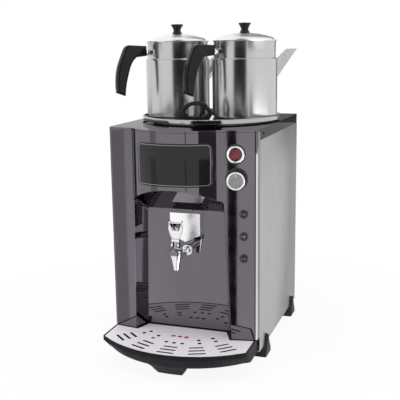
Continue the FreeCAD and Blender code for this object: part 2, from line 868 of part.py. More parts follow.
def tap_gasket():
    """The washer between the shank and the tank's wall."""
    return ring(14, shank_radius + 0.05, V(0, tank_front_y - 2, shank_z), BACK, 2)


cup_top = seat_z + 8.0


def tap_seat_cup():
    """The soft cup that closes the seat."""
    return rod(chamber_radius - 0.4, V(0, tap_y, seat_z), UP, cup_top - seat_z).cut(
        rod(2.4, V(0, tap_y, cup_top - 4), UP, 10))


def tap_stem():
    """The stem, thin through the spring and thick where it shows above the bonnet."""
    neck_z = cup_top + 12
    thin = rod(2.4, V(0, tap_y, cup_top - 4), UP, neck_z - cup_top + 5)
    thick = rod(stem_radius, V(0, tap_y, neck_z), UP, pin_z + 5.4 - neck_z)
    stem = thin.fuse(thick)
    return clean(stem.cut(rod(pin_radius + running_gap, V(-10, tap_y, pin_z), RIGHT, 20)))


def tap_spring():
    """The closing spring's envelope, round the stem and under the bonnet's roof."""
    spring_top = bonnet_bottom + bonnet_height - 3
    return ring(chamber_radius - 0.4, stem_radius + 0.4, V(0, tap_y, cup_top), UP, spring_top - cup_top)


def tap_lever():
    """The tulip-shaped paddle and its two cheeks on the pin."""
    w = lever_half_width
    top = lever_top
    root = pin_z + 8
    right = [((w * 0.5, top - 3.6), (w, top)), ((w * 0.9, top - 9), (w * 0.96, top - 16)),
             ((w * 0.78, top - 28), (5.0, root)), (-5.0, root)]
    left = [((-w * 0.78, top - 28), (-w * 0.96, top - 16)), ((-w * 0.9, top - 9), (-w, top)),
            ((-w * 0.5, top - 3.6), (0, top - 4.2))]
    front = tap_y - lever_thickness / 2
    paddle = face_of([(0, top - 4.2)] + right + left, lambda p: V(p[0], front, p[1]))
    paddle = paddle.extrude(V(0, lever_thickness, 0))
    cheek_in = stem_radius + 0.2
    cheek_out = 8.0
    parts = [box(-cheek_out, cheek_out, tap_y - 3, tap_y + 3, pin_z + 7.4, pin_z + 11)]
    for side in (-1, 1):
        x0, x1 = sorted((side * cheek_in, side * cheek_out))
        parts.append(rod(6.3, V(x0, tap_y, pin_z), RIGHT, x1 - x0))
        parts.append(box(x0, x1, tap_y - 3, tap_y + 3, pin_z, pin_z + 9))
    lever = paddle.fuse(parts)
    return clean(lever.cut(rod(pin_radius, V(-20, tap_y, pin_z), RIGHT, 40)))


def tap_lever_pin():
    """The pin, fast in the cheeks and free in the stem."""
    return rod(pin_radius, V(-8, tap_y, pin_z), RIGHT, 16)


def tray_face(side_shift, bow_shift):
    """The tray seen from above: straight sides and a bowed front, each moved back by a distance."""
    half = tray_width / 2
    side_y = -tray_side_reach + side_shift
    right = rounded([(half, tray_back_y), (half, side_y), (half * 0.9, side_y - half * 0.1 * 0.75)],
                    [0, tray_corner_radius, 0])
    left = rounded([(-half * 0.9, side_y - half * 0.1 * 0.75), (-half, side_y), (-half, tray_back_y)],
                   [0, tray_corner_radius, 0])
    bow = ((0, -tray_reach + bow_shift), left[0])
    return face_of(right + [bow] + left[1:], plan)


def tray_loft(low, high):
    """A solid between two outlines of the tray, each given as side shift, bow shift, inset and height."""
    wires = []
    for side_shift, bow_shift, inset, z in (low, high):
        face = tray_face(side_shift, bow_shift)
        if inset:
            face = face.makeOffset2D(-inset)
        face.translate(V(0, 0, z))
        wires.append(face.OuterWire)
    return Part.makeLoft(wires, True, True)


def grille_face(inset):
    """The grille's outline: the tray's bow in front, the pillars' line behind and a tongue into the niche."""
    face = tray_face(0, 0).makeOffset2D(-grille_rim - grille_gap - inset)
    tongue_left = -niche_back_left + tongue_gap + inset
    tongue_right = niche_back_right - tongue_gap - inset
    pillar = pillar_gap + inset
    left_y = front_y - left_fold_reach
    right_y = zone_point(niche_back_right, 0).y
    mouth_left = tongue_left - (niche_depth_y - left_y) * niche_splay_left
    mouth_right = tongue_right + (niche_depth_y - right_y) * niche_splay_right_low
    path = [
        (-far, -far), (far, -far), (far, right_corner_y - pillar), (half_width, right_corner_y - pillar),
        (mouth_right, zone_point(mouth_right, 0).y - pillar),
        (tongue_right, niche_depth_y - grille_back_gap - inset),
        (tongue_left, niche_depth_y - grille_back_gap - inset),
        (mouth_left, left_y - pillar),
        (-half_width, front_y - left_corner_reach - pillar),
        (-far, front_y - pillar),
    ]
    return face.common(face_of(path, plan))


def slot_cutter(radius, length, angle):
    """One round-ended slot of the fan."""
    half = length / 2 - slot_width / 2
    w = slot_width / 2
    path = [(-half, -w), (half, -w), ((half + w, 0), (half, w)), (-half, w), ((-half - w, 0), (-half, -w))]
    slot = face_of(path, plan).extrude(V(0, 0, 40))
    slot.translate(V(0, -radius, 0))
    slot.rotate(V(0, 0, 0), UP, angle)
    slot.translate(V(0, fan_centre_y, tray_top - 20))
    return slot


def float_xs():
    return [float_hole_pitch * i for i in (-1, 0, 1)]


def drip_grille():
    """The perforated plate: a fan of slots, holes and three float windows."""
    top = tray_top - grille_drop
    plate = prism(grille_face(0), top - grille_thickness, top)
    cutters = []
    for step in (-2, -1, 0, 1, 2):
        for radius, length in slot_rows:
            cutters.append(slot_cutter(radius, length, step * fan_angle))
    holes = [(124.0, -8.0), (124.0, 0.0), (124.0, 8.0)]
    for side in (-1, 1):
        holes += [(123.0, side * 24.5), (107.0, side * 24.5), (121.0, side * 41.0), (105.0, side * 41.0)]
    for radius, angle in holes:
        x = radius * math.sin(math.radians(angle))
        y = fan_centre_y - radius * math.cos(math.radians(angle))
        cutters.append(rod(hole_radius, V(x, y, tray_top - 20), UP, 40))
    for x in float_xs():
        cutters.append(rod(float_hole_radius, V(x, float_y, tray_top - 20), UP, 40))
    return plate.cut(cutters)


def drip_tray():
    """The moulded tray: rim band, raked underside, front lug and a ledge for the grille."""
    rim_z = tray_top - tray_rim_height
    rim = prism(tray_face(0, 0), rim_z, tray_top)
    rake = tray_loft((tray_side_setback, tray_bow_setback, 0, tray_bottom), (0, 0, 0, rim_z))
    lug_setback = tray_reach - lug_reach
    top = tray_bottom + 0.5
    lug = tray_loft((lug_setback, lug_setback, 0, 0), (tray_side_setback, tray_bow_setback, 0, top))
    w = lug_half_width
    mid = w + lug_flare
    blend = mid + lug_fillet
    turn = lug_fillet * (1 - math.sqrt(0.5))
    low = top - lug_fillet
    path = [(-w, 0), (w, 0), (mid, low), ((mid + turn, top - turn), (blend, top)), (blend, top + 1),
            (-blend, top + 1), (-blend, top), ((-mid - turn, top - turn), (-mid, low))]
    lug_front = face_of(path, lambda p: V(p[0], -far, p[1]))
    lug = lug.common(lug_front.extrude(V(0, far - lug_reach + lug_depth, 0)))
    tray = rim.fuse([rake, lug])
    wall = tray_wall
    floor_line = (tray_side_setback + wall, tray_bow_setback + wall, wall, tray_bottom + wall)
    cavity = tray_loft(floor_line, (wall, wall, wall, rim_z))
    ledge_z = tray_top - grille_drop - grille_thickness
    upper = prism(tray_face(0, 0).makeOffset2D(-tray_wall), rim_z, ledge_z - tray_ledge_thickness)
    pocket = prism(grille_face(-grille_gap), ledge_z, tray_top + 1)
    window = prism(grille_face(tray_ledge), ledge_z - 10, tray_top)
    tray = tray.cut(cavity).cut(upper).cut(pocket).cut(window)
    return clean(tray)


def tray_float():
    """The red float: a block in the tray with three pegs under the grille's windows."""
    base = tray_bottom + tray_wall
    half = float_hole_pitch + 9
    path = rounded_rectangle(-half, half, float_y - 9, float_y + 9, 5.0)
    block = prism(face_of(path, plan), base, base + 14)
    pegs = [rod(float_hole_radius - float_gap, V(x, float_y, base + 13), UP, tray_top - 1.2 - base - 13)
            for x in float_xs()]
    return clean(block.fuse(pegs))


def boiler_lid():
    """The round lid plate: a shallow dish with a rolled rim outside and a spigot inside the neck."""
    t = lid_sheet
    low = gasket_top
    r = lid_radius
    top = lid_rim_top
    inner = r - lid_rim_width
    dish = turned([(0, low), (inner + t, low), (inner + t + 0.4, top - 2.4), (r - t, top - 2.6),
                   (r - t, lid_skirt_bottom), (r, lid_skirt_bottom), (r, top - 1.8),
                   ((r - 0.7, top - 0.5), (r - 2.2, top)), ((r - 3.6, top - 0.5), (inner + 0.4, top - 1.8)),
                   (inner, low + t), (0, low + t)], 0, lid_centre_y)
    spigot_r = neck_radius - neck_wall - lid_spigot_gap
    spigot_z = low - lid_spigot_depth
    spigot = ring(spigot_r, spigot_r - t, V(0, lid_centre_y, spigot_z), UP, lid_spigot_depth + t / 2)
    return clean(dish.fuse(spigot))


def lid_handle():
    """The black loop: a flattened ring with pointed shoulders on a flat foot."""
    z0 = pot_base
    h = handle_height
    w = handle_half_width
    b = handle_base_half
    shoulder = z0 + h * 0.42
    crown = w * 0.42
    foot_r, side_r, top_r = handle_foot_radius, handle_shoulder_radius, handle_crown_radius
    corners = [(0, z0), (b, z0), (w, shoulder), (crown, z0 + h),
               (-crown, z0 + h), (-w, shoulder), (-b, z0), (0, z0)]
    outer = rounded(corners, [0, foot_r, side_r, top_r, top_r, side_r, foot_r, 0])
    hole_w = w - handle_band - 2
    hole_low = z0 + handle_band
    hole_top = z0 + h - handle_band
    low_x, top_x = b - handle_band - 2, crown - 4
    corners = [(0, hole_low), (low_x, hole_low), (hole_w, shoulder), (top_x, hole_top),
               (-top_x, hole_top), (-hole_w, shoulder), (-low_x, hole_low), (0, hole_low)]
    inner = rounded(corners, [0, foot_r + 1, side_r - 2, top_r - 10, top_r - 10, side_r - 2, foot_r + 1, 0])

    def place(p):
        return V(p[0], handle_y - handle_depth / 2, p[1])

    loop = face_of(outer, place).extrude(V(0, handle_depth, 0))
    loop = loop.cut(face_of(inner, place).extrude(V(0, handle_depth, 0)))
    edges = [e for e in loop.Edges
             if e.BoundBox.YLength < 0.01 and e.BoundBox.ZMax > z0 + 0.01]
    return loop.makeFillet(2.5, edges)


def pot_body():
    """The teapot's pressed body: straight sides, a shoulder step, and a flared rim."""
    z = pot_base
    r = pot_radius
    n = pot_neck_radius
    t = pot_wall
    c = pot_bottom_radius
    k = c * (1 - math.sqrt(0.5))
    s = z + pot_shoulder
    top = z + pot_height
    return turned([
        (0, z), (r - c, z), ((r - k, z + k), (r, z + c)), (r, s), ((r - 0.6, s + 1.8), (n + 0.8, s + 3)),
        (n, s + 4.5), (n, top - 2.5), (n + 1, top), (n - t + 0.6, top), (n - t, top - 2.2), (n - t, s + 4.0),
        (n - t + 0.9, s + 2), ((r - t - 0.5, s + 0.6), (r - t, s - 1)), (r - t, z + c + 0.4),
        ((r - t - k, z + t + k), (r - t - c, z + t)), (0, z + t)], 0, 0)


def frame_at(angle):
    """Places (outward, sideways, up) lengths about a teapot's axis."""
    out = V(math.cos(math.radians(angle)), math.sin(math.radians(angle)), 0)
    side = UP.cross(out)

    def place(u, v, z):
        return out * u + side * v + UP * z

    return place


def spout_shape(inset):
    """The tapered spout from inside the body to its level mouth."""
    place = frame_at(pot_handle_angle - 180)
    reach = pot_radius - spout_root_inset
    low, high, mouth_z = (pot_base + pot_height * share
                          for share in (spout_low_share, spout_high_share, spout_mouth_share))
    middle = (low + high) / 2
    root = Part.Ellipse(place(reach, 0, high - inset), place(reach, spout_root_half - inset, middle),
                        place(reach, 0, middle)).toShape()
    start, end = pot_radius + spout_mouth_start, pot_radius + spout_mouth_end
    centre = (start + end) / 2
    mouth = Part.Ellipse(place(start + inset, 0, mouth_z), place(centre, spout_mouth_half - inset, mouth_z),
                         place(centre, 0, mouth_z)).toShape()
    return Part.makeLoft([Part.Wire(root), Part.Wire(mouth)], True, True)


def pot_spout():
    """The hollow spout, ending on the body's wall."""
    spout = spout_shape(0).cut(spout_shape(spout_wall))
    return spout.cut(rod(pot_radius, V(0, 0, 0), UP, far))


def pot_ferrule():
    """The metal socket between the neck and the handle."""
    place = frame_at(pot_handle_angle)
    fall = pot_height * pot_handle_drop
    z = pot_base + pot_height - fall * 0.25
    half = ferrule_width / 2
    path = rounded_rectangle(-half, half, z, z + ferrule_height, 4.0)
    start = face_of(path, lambda p: place(pot_neck_radius - 10, p[0], p[1]))
    bar = start.extrude(place(10 + ferrule_reach, 0, 0) - place(0, 0, 0))
    return bar.cut(rod(pot_neck_radius, V(0, 0, 0), UP, far))


def pot_handle():
    """The black horn: a level arm, then a long curved grip that ends free."""
    place = frame_at(pot_handle_angle)
    half = pot_handle_thickness / 2
    start = pot_neck_radius + ferrule_reach
    neck = pot_neck_radius
    top = pot_base + pot_height
    fall = pot_height * pot_handle_drop

    def at(p):
        return place(p[0], -half, top - p[1] * fall)

    arm_low, arm_end = (start, 0.258), (neck + 36, 0.278)
    arm_high, arm_turn = (start, 0.07), (neck + 48, 0.054)
    outer = Part.BSplineCurve()
    outer.interpolate([at(p) for p in (arm_turn, (neck + 61, 0.079), (neck + 69.5, 0.205), (neck + 80, 0.428),
                                       (neck + 85.5, 0.681), (neck + 84.5, 0.94))])
    inner = Part.BSplineCurve()
    inner.interpolate([at(p) for p in ((neck + 65.8, 1.0), (neck + 63.3, 0.814), (neck + 55.8, 0.56),
                                       (neck + 47, 0.375), arm_end)])
    edges = path_edges([arm_low, arm_high, arm_turn], at)
    edges.append(outer.toShape())
    edges.append(Part.LineSegment(at((neck + 84.5, 0.94)), at((neck + 65.8, 1.0))).toShape())
    edges.append(inner.toShape())
    edges.append(Part.LineSegment(at(arm_end), at(arm_low)).toShape())
    grip = Part.Face(Part.Wire(edges)).extrude(place(0, 2 * half, 0) - place(0, 0, 0))
    sideways = place(0, 1, 0)
    rim = []
    for edge in grip.Edges:
        first, last = edge.Vertexes[0].Point, edge.Vertexes[-1].Point
        if abs((first - last).normalize().dot(sideways)) < 0.5:
            rim.append(edge)
    return grip.makeFillet(pot_handle_fillet, rim)


def pot_lid():
    """The domed lid: a flat rim, a steep shoulder, a round crown and a short skirt inside the neck."""
    z = pot_base + pot_height
    n = pot_neck_radius - pot_wall
    r = pot_radius - pot_lid_inset
    top = z + pot_lid_rise
    crown_radius = n - 7.8
    crown_z = z + pot_lid_rise * 0.45
    inside = cap(crown_radius - 0.3, crown_z - 1, top - 1)
    under = [(0, top - 1), (inside[0], (crown_radius - 0.3, crown_z - 1)),
             ((n - 4.4, crown_z - 3.4), (n - 2.0, z + 0.2))]
    skirt = [(n - 2.0, z - 6), (n - 1.0, z - 6), (n - 1.0, z)]
    rim = [(r - 1, z), (r, z + 1.6), (r - 1, z + 1.8), (n - 1.5, z + 1.4)]
    dome = [((n - 3.5, crown_z - 2.6), (crown_radius, crown_z)), cap(crown_radius, crown_z, top)]
    return turned(under + skirt + rim + dome, 0, 0)


def pot_knob():
    """The black flared knob."""
    z = pot_base + pot_height + pot_lid_rise
    h = knob_height
    return turned([
        (0, z), (knob_base_radius, z), (knob_base_radius, z + 1.5), ((knob_waist_radius + 1, z + 4.5),
                                                                   (knob_waist_radius, z + h * 0.4)),
        ((knob_waist_radius + 2.4, z + h * 0.65), (knob_top_radius, z + h - 3.0)),
        ((knob_top_radius - 0.4, z + h - 1.4), (knob_top_radius - 2.5, z + h - 0.8)), (0, z + h)], 0, 0)


def pot_pieces():
    """The pieces of one teapot, made about its own axis."""
    return {
        "body": pot_body().cut(spout_shape(spout_wall)),
        "spout": pot_spout(),
        "ferrule": pot_ferrule(),
        "handle": pot_handle(),
        "lid": pot_lid(),
        "knob": pot_knob(),
    }


nodes = {
    "base_pan": base_pan(),
    "side_panel_left": side_panel(-1),
    "side_panel_right": side_panel(1),
    "back_panel": back_panel(),
    "front_panel": front_panel(),
    "niche_liner": niche_liner(),
    "top_cover": top_cover(),
    "top_cover_screws": top_cover_screws(),
    "foot_screws": foot_screws(),
    "boiler_tank": boiler_tank(),
    "tank_stands": tank_stands(),
    "lid_gasket": lid_gasket(),
    "heating_element": heating_element(),
    "thermostat_unit": thermostat_unit(),
    "safety_cutout": safety_cutout(),
    "terminal_block": terminal_block(),
    "cable_gland": cable_gland(),
    "name_plaque": name_plaque(),
    "dial_plate": dial_plate(),
    "thermostat_knob": thermostat_knob(),
    "switch_body": switch_body(),
    "switch_ring": switch_ring(),
    "switch_rocker": switch_rocker(),
    "lamp_bezels": lamp_bezels(),
    "tap_guard": tap_guard(),
    "tap_rosette": tap_rosette(),
    "tap_body": tap_body(),
    "tap_bonnet": tap_bonnet(),
    "tap_nuts": tap_nuts(),
    "tap_gasket": tap_gasket(),
    "tap_stem": tap_stem(),
    "tap_seat_cup": tap_seat_cup(),
    "tap_spring": tap_spring(),
    "tap_lever": tap_lever(),
    "tap_lever_pin": tap_lever_pin(),
    "drip_tray": drip_tray(),
    "drip_grille": drip_grille(),
    "tray_float": tray_float(),
    "boiler_lid": boiler_lid(),
    "lid_handle": lid_handle(),
}
for name, side, y in foot_places():
    nodes[name] = foot(side, y)
for name, height in lamp_heights.items():
    nodes[name] = lamp_lens(height)
for piece, shape in pot_pieces().items():
    for name, x in (("pot_left_", -pot_offset), ("pot_right_", pot_offset)):
        nodes[name + piece] = shape.copy()
        nodes[name + piece].translate(V(x, lid_centre_y, 0))

os.makedirs("parts", exist_ok=True)
for name, shape in nodes.items():
    moved = shape.copy()
    moved.translate(V(0, shift_y, 0))
    moved.exportStep("parts/" + name + ".step")
    extent = moved.BoundBox
    corners = (extent.XMin, extent.XMax, extent.YMin, extent.YMax, extent.ZMin, extent.ZMax)
    state = "valid" if moved.isValid() else "INVALID"
    print(name, len(moved.Solids), state, round(moved.Volume), [round(value, 1) for value in corners])
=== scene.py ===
import json
import math

import bpy
from mathutils import Matrix, Vector

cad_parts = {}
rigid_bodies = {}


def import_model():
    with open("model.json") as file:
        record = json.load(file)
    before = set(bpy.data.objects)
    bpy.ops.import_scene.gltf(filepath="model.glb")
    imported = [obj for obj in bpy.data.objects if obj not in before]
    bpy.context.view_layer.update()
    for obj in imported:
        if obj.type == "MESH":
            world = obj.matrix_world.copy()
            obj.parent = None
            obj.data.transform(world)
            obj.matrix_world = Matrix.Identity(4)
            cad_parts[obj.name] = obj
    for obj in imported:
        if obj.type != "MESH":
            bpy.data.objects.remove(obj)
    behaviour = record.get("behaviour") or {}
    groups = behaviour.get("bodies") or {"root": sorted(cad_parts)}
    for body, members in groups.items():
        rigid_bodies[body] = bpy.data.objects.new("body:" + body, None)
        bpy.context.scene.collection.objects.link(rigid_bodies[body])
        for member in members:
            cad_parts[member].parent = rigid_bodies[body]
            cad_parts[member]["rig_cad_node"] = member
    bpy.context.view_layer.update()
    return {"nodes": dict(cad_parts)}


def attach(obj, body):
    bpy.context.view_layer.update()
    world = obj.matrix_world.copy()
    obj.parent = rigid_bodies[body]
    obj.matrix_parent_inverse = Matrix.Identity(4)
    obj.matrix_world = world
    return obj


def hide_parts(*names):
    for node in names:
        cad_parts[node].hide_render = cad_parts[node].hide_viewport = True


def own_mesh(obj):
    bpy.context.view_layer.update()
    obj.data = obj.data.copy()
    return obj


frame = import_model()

# The photographer's table: a pale top, three soft lamps above and at both sides, and the camera to
# the right of the urn, as high as the teapots. Plain upright screens that only polished metal sees,
# dark ones and one bright one, stand round the table to give steel and chrome something to mirror.
camera_place = Vector((0.515566, -1.518615, 0.646230))
camera_yaw = 0.330307
camera_pitch = 0.202884
camera_roll = -0.0133735

ahead = Vector((
    -math.sin(camera_yaw) * math.cos(camera_pitch),
    math.cos(camera_yaw) * math.cos(camera_pitch),
    -math.sin(camera_pitch),
))
level = Vector((math.cos(camera_yaw), math.sin(camera_yaw), 0))
across = math.cos(camera_roll) * level + math.sin(camera_roll) * level.cross(ahead)
upward = math.cos(camera_roll) * level.cross(ahead) - math.sin(camera_roll) * level
bpy.ops.object.camera_add(location=camera_place)
camera = bpy.context.active_object
camera_turn = Matrix((across, upward, -ahead)).transposed().to_4x4()
camera.matrix_world = Matrix.Translation(camera_place) @ camera_turn
camera.data.sensor_width = 36
camera.data.lens = 66.74
bpy.context.scene.camera = camera
bpy.context.scene.view_settings.view_transform = "Standard"


def lamp(name, place, target, size, power):
    """A rectangular soft lamp that faces a point of the urn and leaves no square on what is polished."""
    bpy.ops.object.light_add(type="AREA", location=place)
    made = bpy.context.active_object
    made.name = name
    made.rotation_euler = (Vector(target) - Vector(place)).to_track_quat("-Z", "Y").to_euler()
    made.data.shape = "RECTANGLE"
    made.data.size, made.data.size_y = size
    made.data.energy = power
    made.visible_camera = made.visible_glossy = False


lamp("lamp_above", (-0.2, -0.55, 2.0), (0, 0.05, 0.45), (1.6, 0.9), 15)
lamp("lamp_left", (-1.7, -1.1, 1.1), (0, 0, 0.35), (0.7, 1.5), 9)
lamp("lamp_right", (1.9, 0.2, 1.1), (0.1, 0.1, 0.35), (0.6, 1.5), 8)

world = bpy.data.worlds.new("studio_air")
bpy.context.scene.world = world
world.use_nodes = True
air = world.node_tree
air_path = air.nodes.new("ShaderNodeLightPath")
seen_or_mirrored = air.nodes.new("ShaderNodeMath")
seen_or_mirrored.operation = "MAXIMUM"
seen_through_too = air.nodes.new("ShaderNodeMath")
seen_through_too.operation = "MAXIMUM"
air_strength = air.nodes.new("ShaderNodeMapRange")
air_strength.inputs["To Min"].default_value = 0.62
air_strength.inputs["To Max"].default_value = 1.0
air.links.new(air_path.outputs["Is Camera Ray"], seen_or_mirrored.inputs[0])
air.links.new(air_path.outputs["Is Glossy Ray"], seen_or_mirrored.inputs[1])
air.links.new(seen_or_mirrored.outputs[0], seen_through_too.inputs[0])
air.links.new(air_path.outputs["Is Transmission Ray"], seen_through_too.inputs[1])
air.links.new(seen_through_too.outputs[0], air_strength.inputs["Value"])
air.links.new(air_strength.outputs[0], air.nodes["Background"].inputs["Strength"])
air.nodes["Background"].inputs["Color"].default_value = (1, 1, 1, 1)

bpy.ops.object.select_all(action="DESELECT")
bpy.ops.mesh.primitive_plane_add(size=14, location=(0, 0, -0.0002))
table_top = bpy.context.active_object
table_top.name = table_top.data.name = "table_top"
table_top.visible_glossy = False
table_paint = bpy.data.materials.new("pale_table")
table_paint.use_nodes = True
paint_nodes = table_paint.node_tree.nodes
paint_links = table_paint.node_tree.links
matt = paint_nodes["Principled BSDF"]
matt.inputs["Base Color"].default_value = (0.86, 0.86, 0.86, 1)
matt.inputs["Roughness"].default_value = 0.8
white = paint_nodes.new("ShaderNodeEmission")
white.inputs["Strength"].default_value = 1.0
table_path = paint_nodes.new("ShaderNodeLightPath")
table_place = paint_nodes.new("ShaderNodeTexCoord")
from_urn = paint_nodes.new("ShaderNodeVectorMath")
from_urn.operation = "LENGTH"
whiter_far_off = paint_nodes.new("ShaderNodeMapRange")
whiter_far_off.inputs["From Min"].default_value = 0.3
whiter_far_off.inputs["From Max"].default_value = 0.9
whiter_far_off.inputs["To Min"].default_value = 0.92
whiter_far_off.inputs["To Max"].default_value = 1.0
share = paint_nodes.new("ShaderNodeMath")
share.operation = "MULTIPLY"
paint_links.new(table_place.outputs["Object"], from_urn.inputs[0])
paint_links.new(from_urn.outputs["Value"], whiter_far_off.inputs["Value"])
paint_links.new(whiter_far_off.outputs[0], share.inputs[1])
blend_white = paint_nodes.new("ShaderNodeMixShader")
paint_links.new(table_path.outputs["Is Camera Ray"], share.inputs[0])
paint_links.new(share.outputs[0], blend_white.inputs["Fac"])
paint_links.new(matt.outputs[0], blend_white.inputs[1])
paint_links.new(white.outputs[0], blend_white.inputs[2])
paint_links.new(blend_white.outputs[0], paint_nodes["Material Output"].inputs["Surface"])
table_top.data.materials.append(table_paint)

# The casing mirrors the far screens up to this height, and the teapots mirror them above it.
casing_mirrors_to = 0.30
screen_far = 1.9
screen_foot = -2.2


def mirror_screen(name, reach, turn, half_width, tone, low, high):
    """A screen of a grey tone at a distance and a turn in degrees, from one height to another."""
    bpy.ops.object.select_all(action="DESELECT")
    bpy.ops.mesh.primitive_plane_add(size=1)
    screen = bpy.context.active_object
    screen.name = screen.data.name = name
    facing = math.radians(turn)
    screen.scale = (2 * half_width, high - low, 1)
    screen.rotation_euler = (math.radians(90), 0, facing)
    screen.location = (reach * math.sin(facing), -reach * math.cos(facing), (low + high) / 2)
    screen.visible_camera = screen.visible_diffuse = False
    screen.visible_shadow = screen.visible_transmission = False
    felt = bpy.data.materials.new(name + "_felt")
    felt.use_nodes = True
    glow = felt.node_tree.nodes.new("ShaderNodeEmission")
    glow.inputs["Color"].default_value = (tone, tone, tone, 1)
    felt.node_tree.links.new(glow.outputs[0], felt.node_tree.nodes["Material Output"].inputs["Surface"])
    screen.data.materials.append(felt)


mirror_screen("screen_near_pots", 0.26, 14.8, 0.126, 0.01, 0.485, 1.4)
mirror_screen("screen_pots_back", screen_far, 176, 0.69, 0.25, casing_mirrors_to, 3.0)
mirror_screen("screen_low_strip", screen_far, 8.45, 0.021, 0.02, screen_foot, casing_mirrors_to)
mirror_screen("screen_low_right", screen_far, 44, 0.47, 0.10, screen_foot, casing_mirrors_to)
mirror_screen("screen_low_bright", 0.6, 80, 0.30, 4.2, -0.9, 0.38)
mirror_screen("screen_low_left", screen_far, -49, 0.20, 0.6, screen_foot, casing_mirrors_to)
mirror_screen("screen_low_far_left", screen_far, -112, 0.60, 0.05, screen_foot, casing_mirrors_to)
mirror_screen("screen_low_back", screen_far, 186, 0.62, 0.2, screen_foot, casing_mirrors_to)

# The base pan: folded mill-finish steel, screwed to the feet, with the two folded stands that hold
# the boiler off it. Both are hidden in use and keep the grey, faintly cloudy face of the sheet.


def fresh_material(name, piece, colour, metal, roughness):
    """A new material for a piece, and the place on it measured from the piece's own middle."""
    made = bpy.data.materials.new(name)
    made.use_nodes = True
    shader = made.node_tree.nodes["Principled BSDF"]
    shader.inputs["Base Color"].default_value = (*colour, 1)
    shader.inputs["Metallic"].default_value = metal
    shader.inputs["Roughness"].default_value = roughness
    place = made.node_tree.nodes.new("ShaderNodeTexCoord")
    centred = made.node_tree.nodes.new("ShaderNodeMapping")
    centred.name = "centred"
    corners = [Vector(corner) for corner in piece.bound_box]
    centred.inputs["Location"].default_value = -(corners[0] + corners[6]) / 2
    made.node_tree.links.new(place.outputs["Object"], centred.inputs["Vector"])
    return made


def streaks(material, stretch, scale, detail=3.0):
    """A noise drawn out along an axis: a small stretch number gives long streaks that way."""
    tree = material.node_tree
    drawn = tree.nodes.new("ShaderNodeMapping")
    drawn.inputs["Scale"].default_value = stretch
    noise = tree.nodes.new("ShaderNodeTexNoise")
    noise.inputs["Scale"].default_value = scale
    noise.inputs["Detail"].default_value = detail
    tree.links.new(tree.nodes["centred"].outputs["Vector"], drawn.inputs["Vector"])
    tree.links.new(drawn.outputs["Vector"], noise.inputs["Vector"])
    return noise.outputs["Fac"]


def tint(material, pattern, dark, light, low=0.3, high=0.7):
    """Lets a pattern take the colour from a dark tone to a light one."""
    tree = material.node_tree
    tones = tree.nodes.new("ShaderNodeValToRGB")
    tones.color_ramp.elements[0].position = low
    tones.color_ramp.elements[1].position = high
    tones.color_ramp.elements[0].color = (*dark, 1)
    tones.color_ramp.elements[1].color = (*light, 1)
    tree.links.new(pattern, tones.inputs["Fac"])
    tree.links.new(tones.outputs["Color"], tree.nodes["Principled BSDF"].inputs["Base Color"])


def polish(material, pattern, smooth, rough):
    """Lets a pattern take the roughness from smooth to rough."""
    tree = material.node_tree
    spread = tree.nodes.new("ShaderNodeMapRange")
    spread.inputs["From Min"].default_value = 0.25
    spread.inputs["From Max"].default_value = 0.75
    spread.inputs["To Min"].default_value = smooth
    spread.inputs["To Max"].default_value = rough
    tree.links.new(pattern, spread.inputs["Value"])
    tree.links.new(spread.outputs[0], tree.nodes["Principled BSDF"].inputs["Roughness"])


def relief(material, pattern, depth, strength=1.0):
    """Lets a pattern stand up from the surface by a depth in metres."""
    tree = material.node_tree
    bump = tree.nodes.new("ShaderNodeBump")
    bump.inputs["Distance"].default_value = depth
    bump.inputs["Strength"].default_value = strength
    before = tree.nodes["Principled BSDF"].inputs["Normal"]
    if before.is_linked:
        tree.links.new(before.links[0].from_socket, bump.inputs["Normal"])
    tree.links.new(pattern, bump.inputs["Height"])
    tree.links.new(bump.outputs["Normal"], before)


def shader_value(material, socket, value):
    """Sets one value on a material's own shader."""
    material.node_tree.nodes["Principled BSDF"].inputs[socket].default_value = value


def cover_solid(name, material):
    """Gives a carried-over solid its finish."""
    solid = frame["nodes"][name]
    for held in solid.material_slots:
        held.material = material


for name in ("base_pan", "tank_stands"):
    mill_sheet = fresh_material("mill_sheet_" + name, frame["nodes"][name], (0.55, 0.56, 0.57), 1.0, 0.42)
    tint(mill_sheet, streaks(mill_sheet, (1, 1, 1), 24), (0.44, 0.45, 0.46), (0.60, 0.61, 0.62))
    polish(mill_sheet, streaks(mill_sheet, (14, 1, 14), 60), 0.34, 0.52)
    cover_solid(name, mill_sheet)

# The feet: four charcoal mouldings, each a pad under the base with a leaf that laps up the side.
# Their face has the fine pebble of the mould, and their edges are rounded by it.


def pick(*pieces):
    """Selects some pieces and nothing else, and makes the first one active."""
    bpy.ops.object.select_all(action="DESELECT")
    for piece in pieces:
        piece.select_set(True)
    bpy.context.view_layer.objects.active = pieces[0]


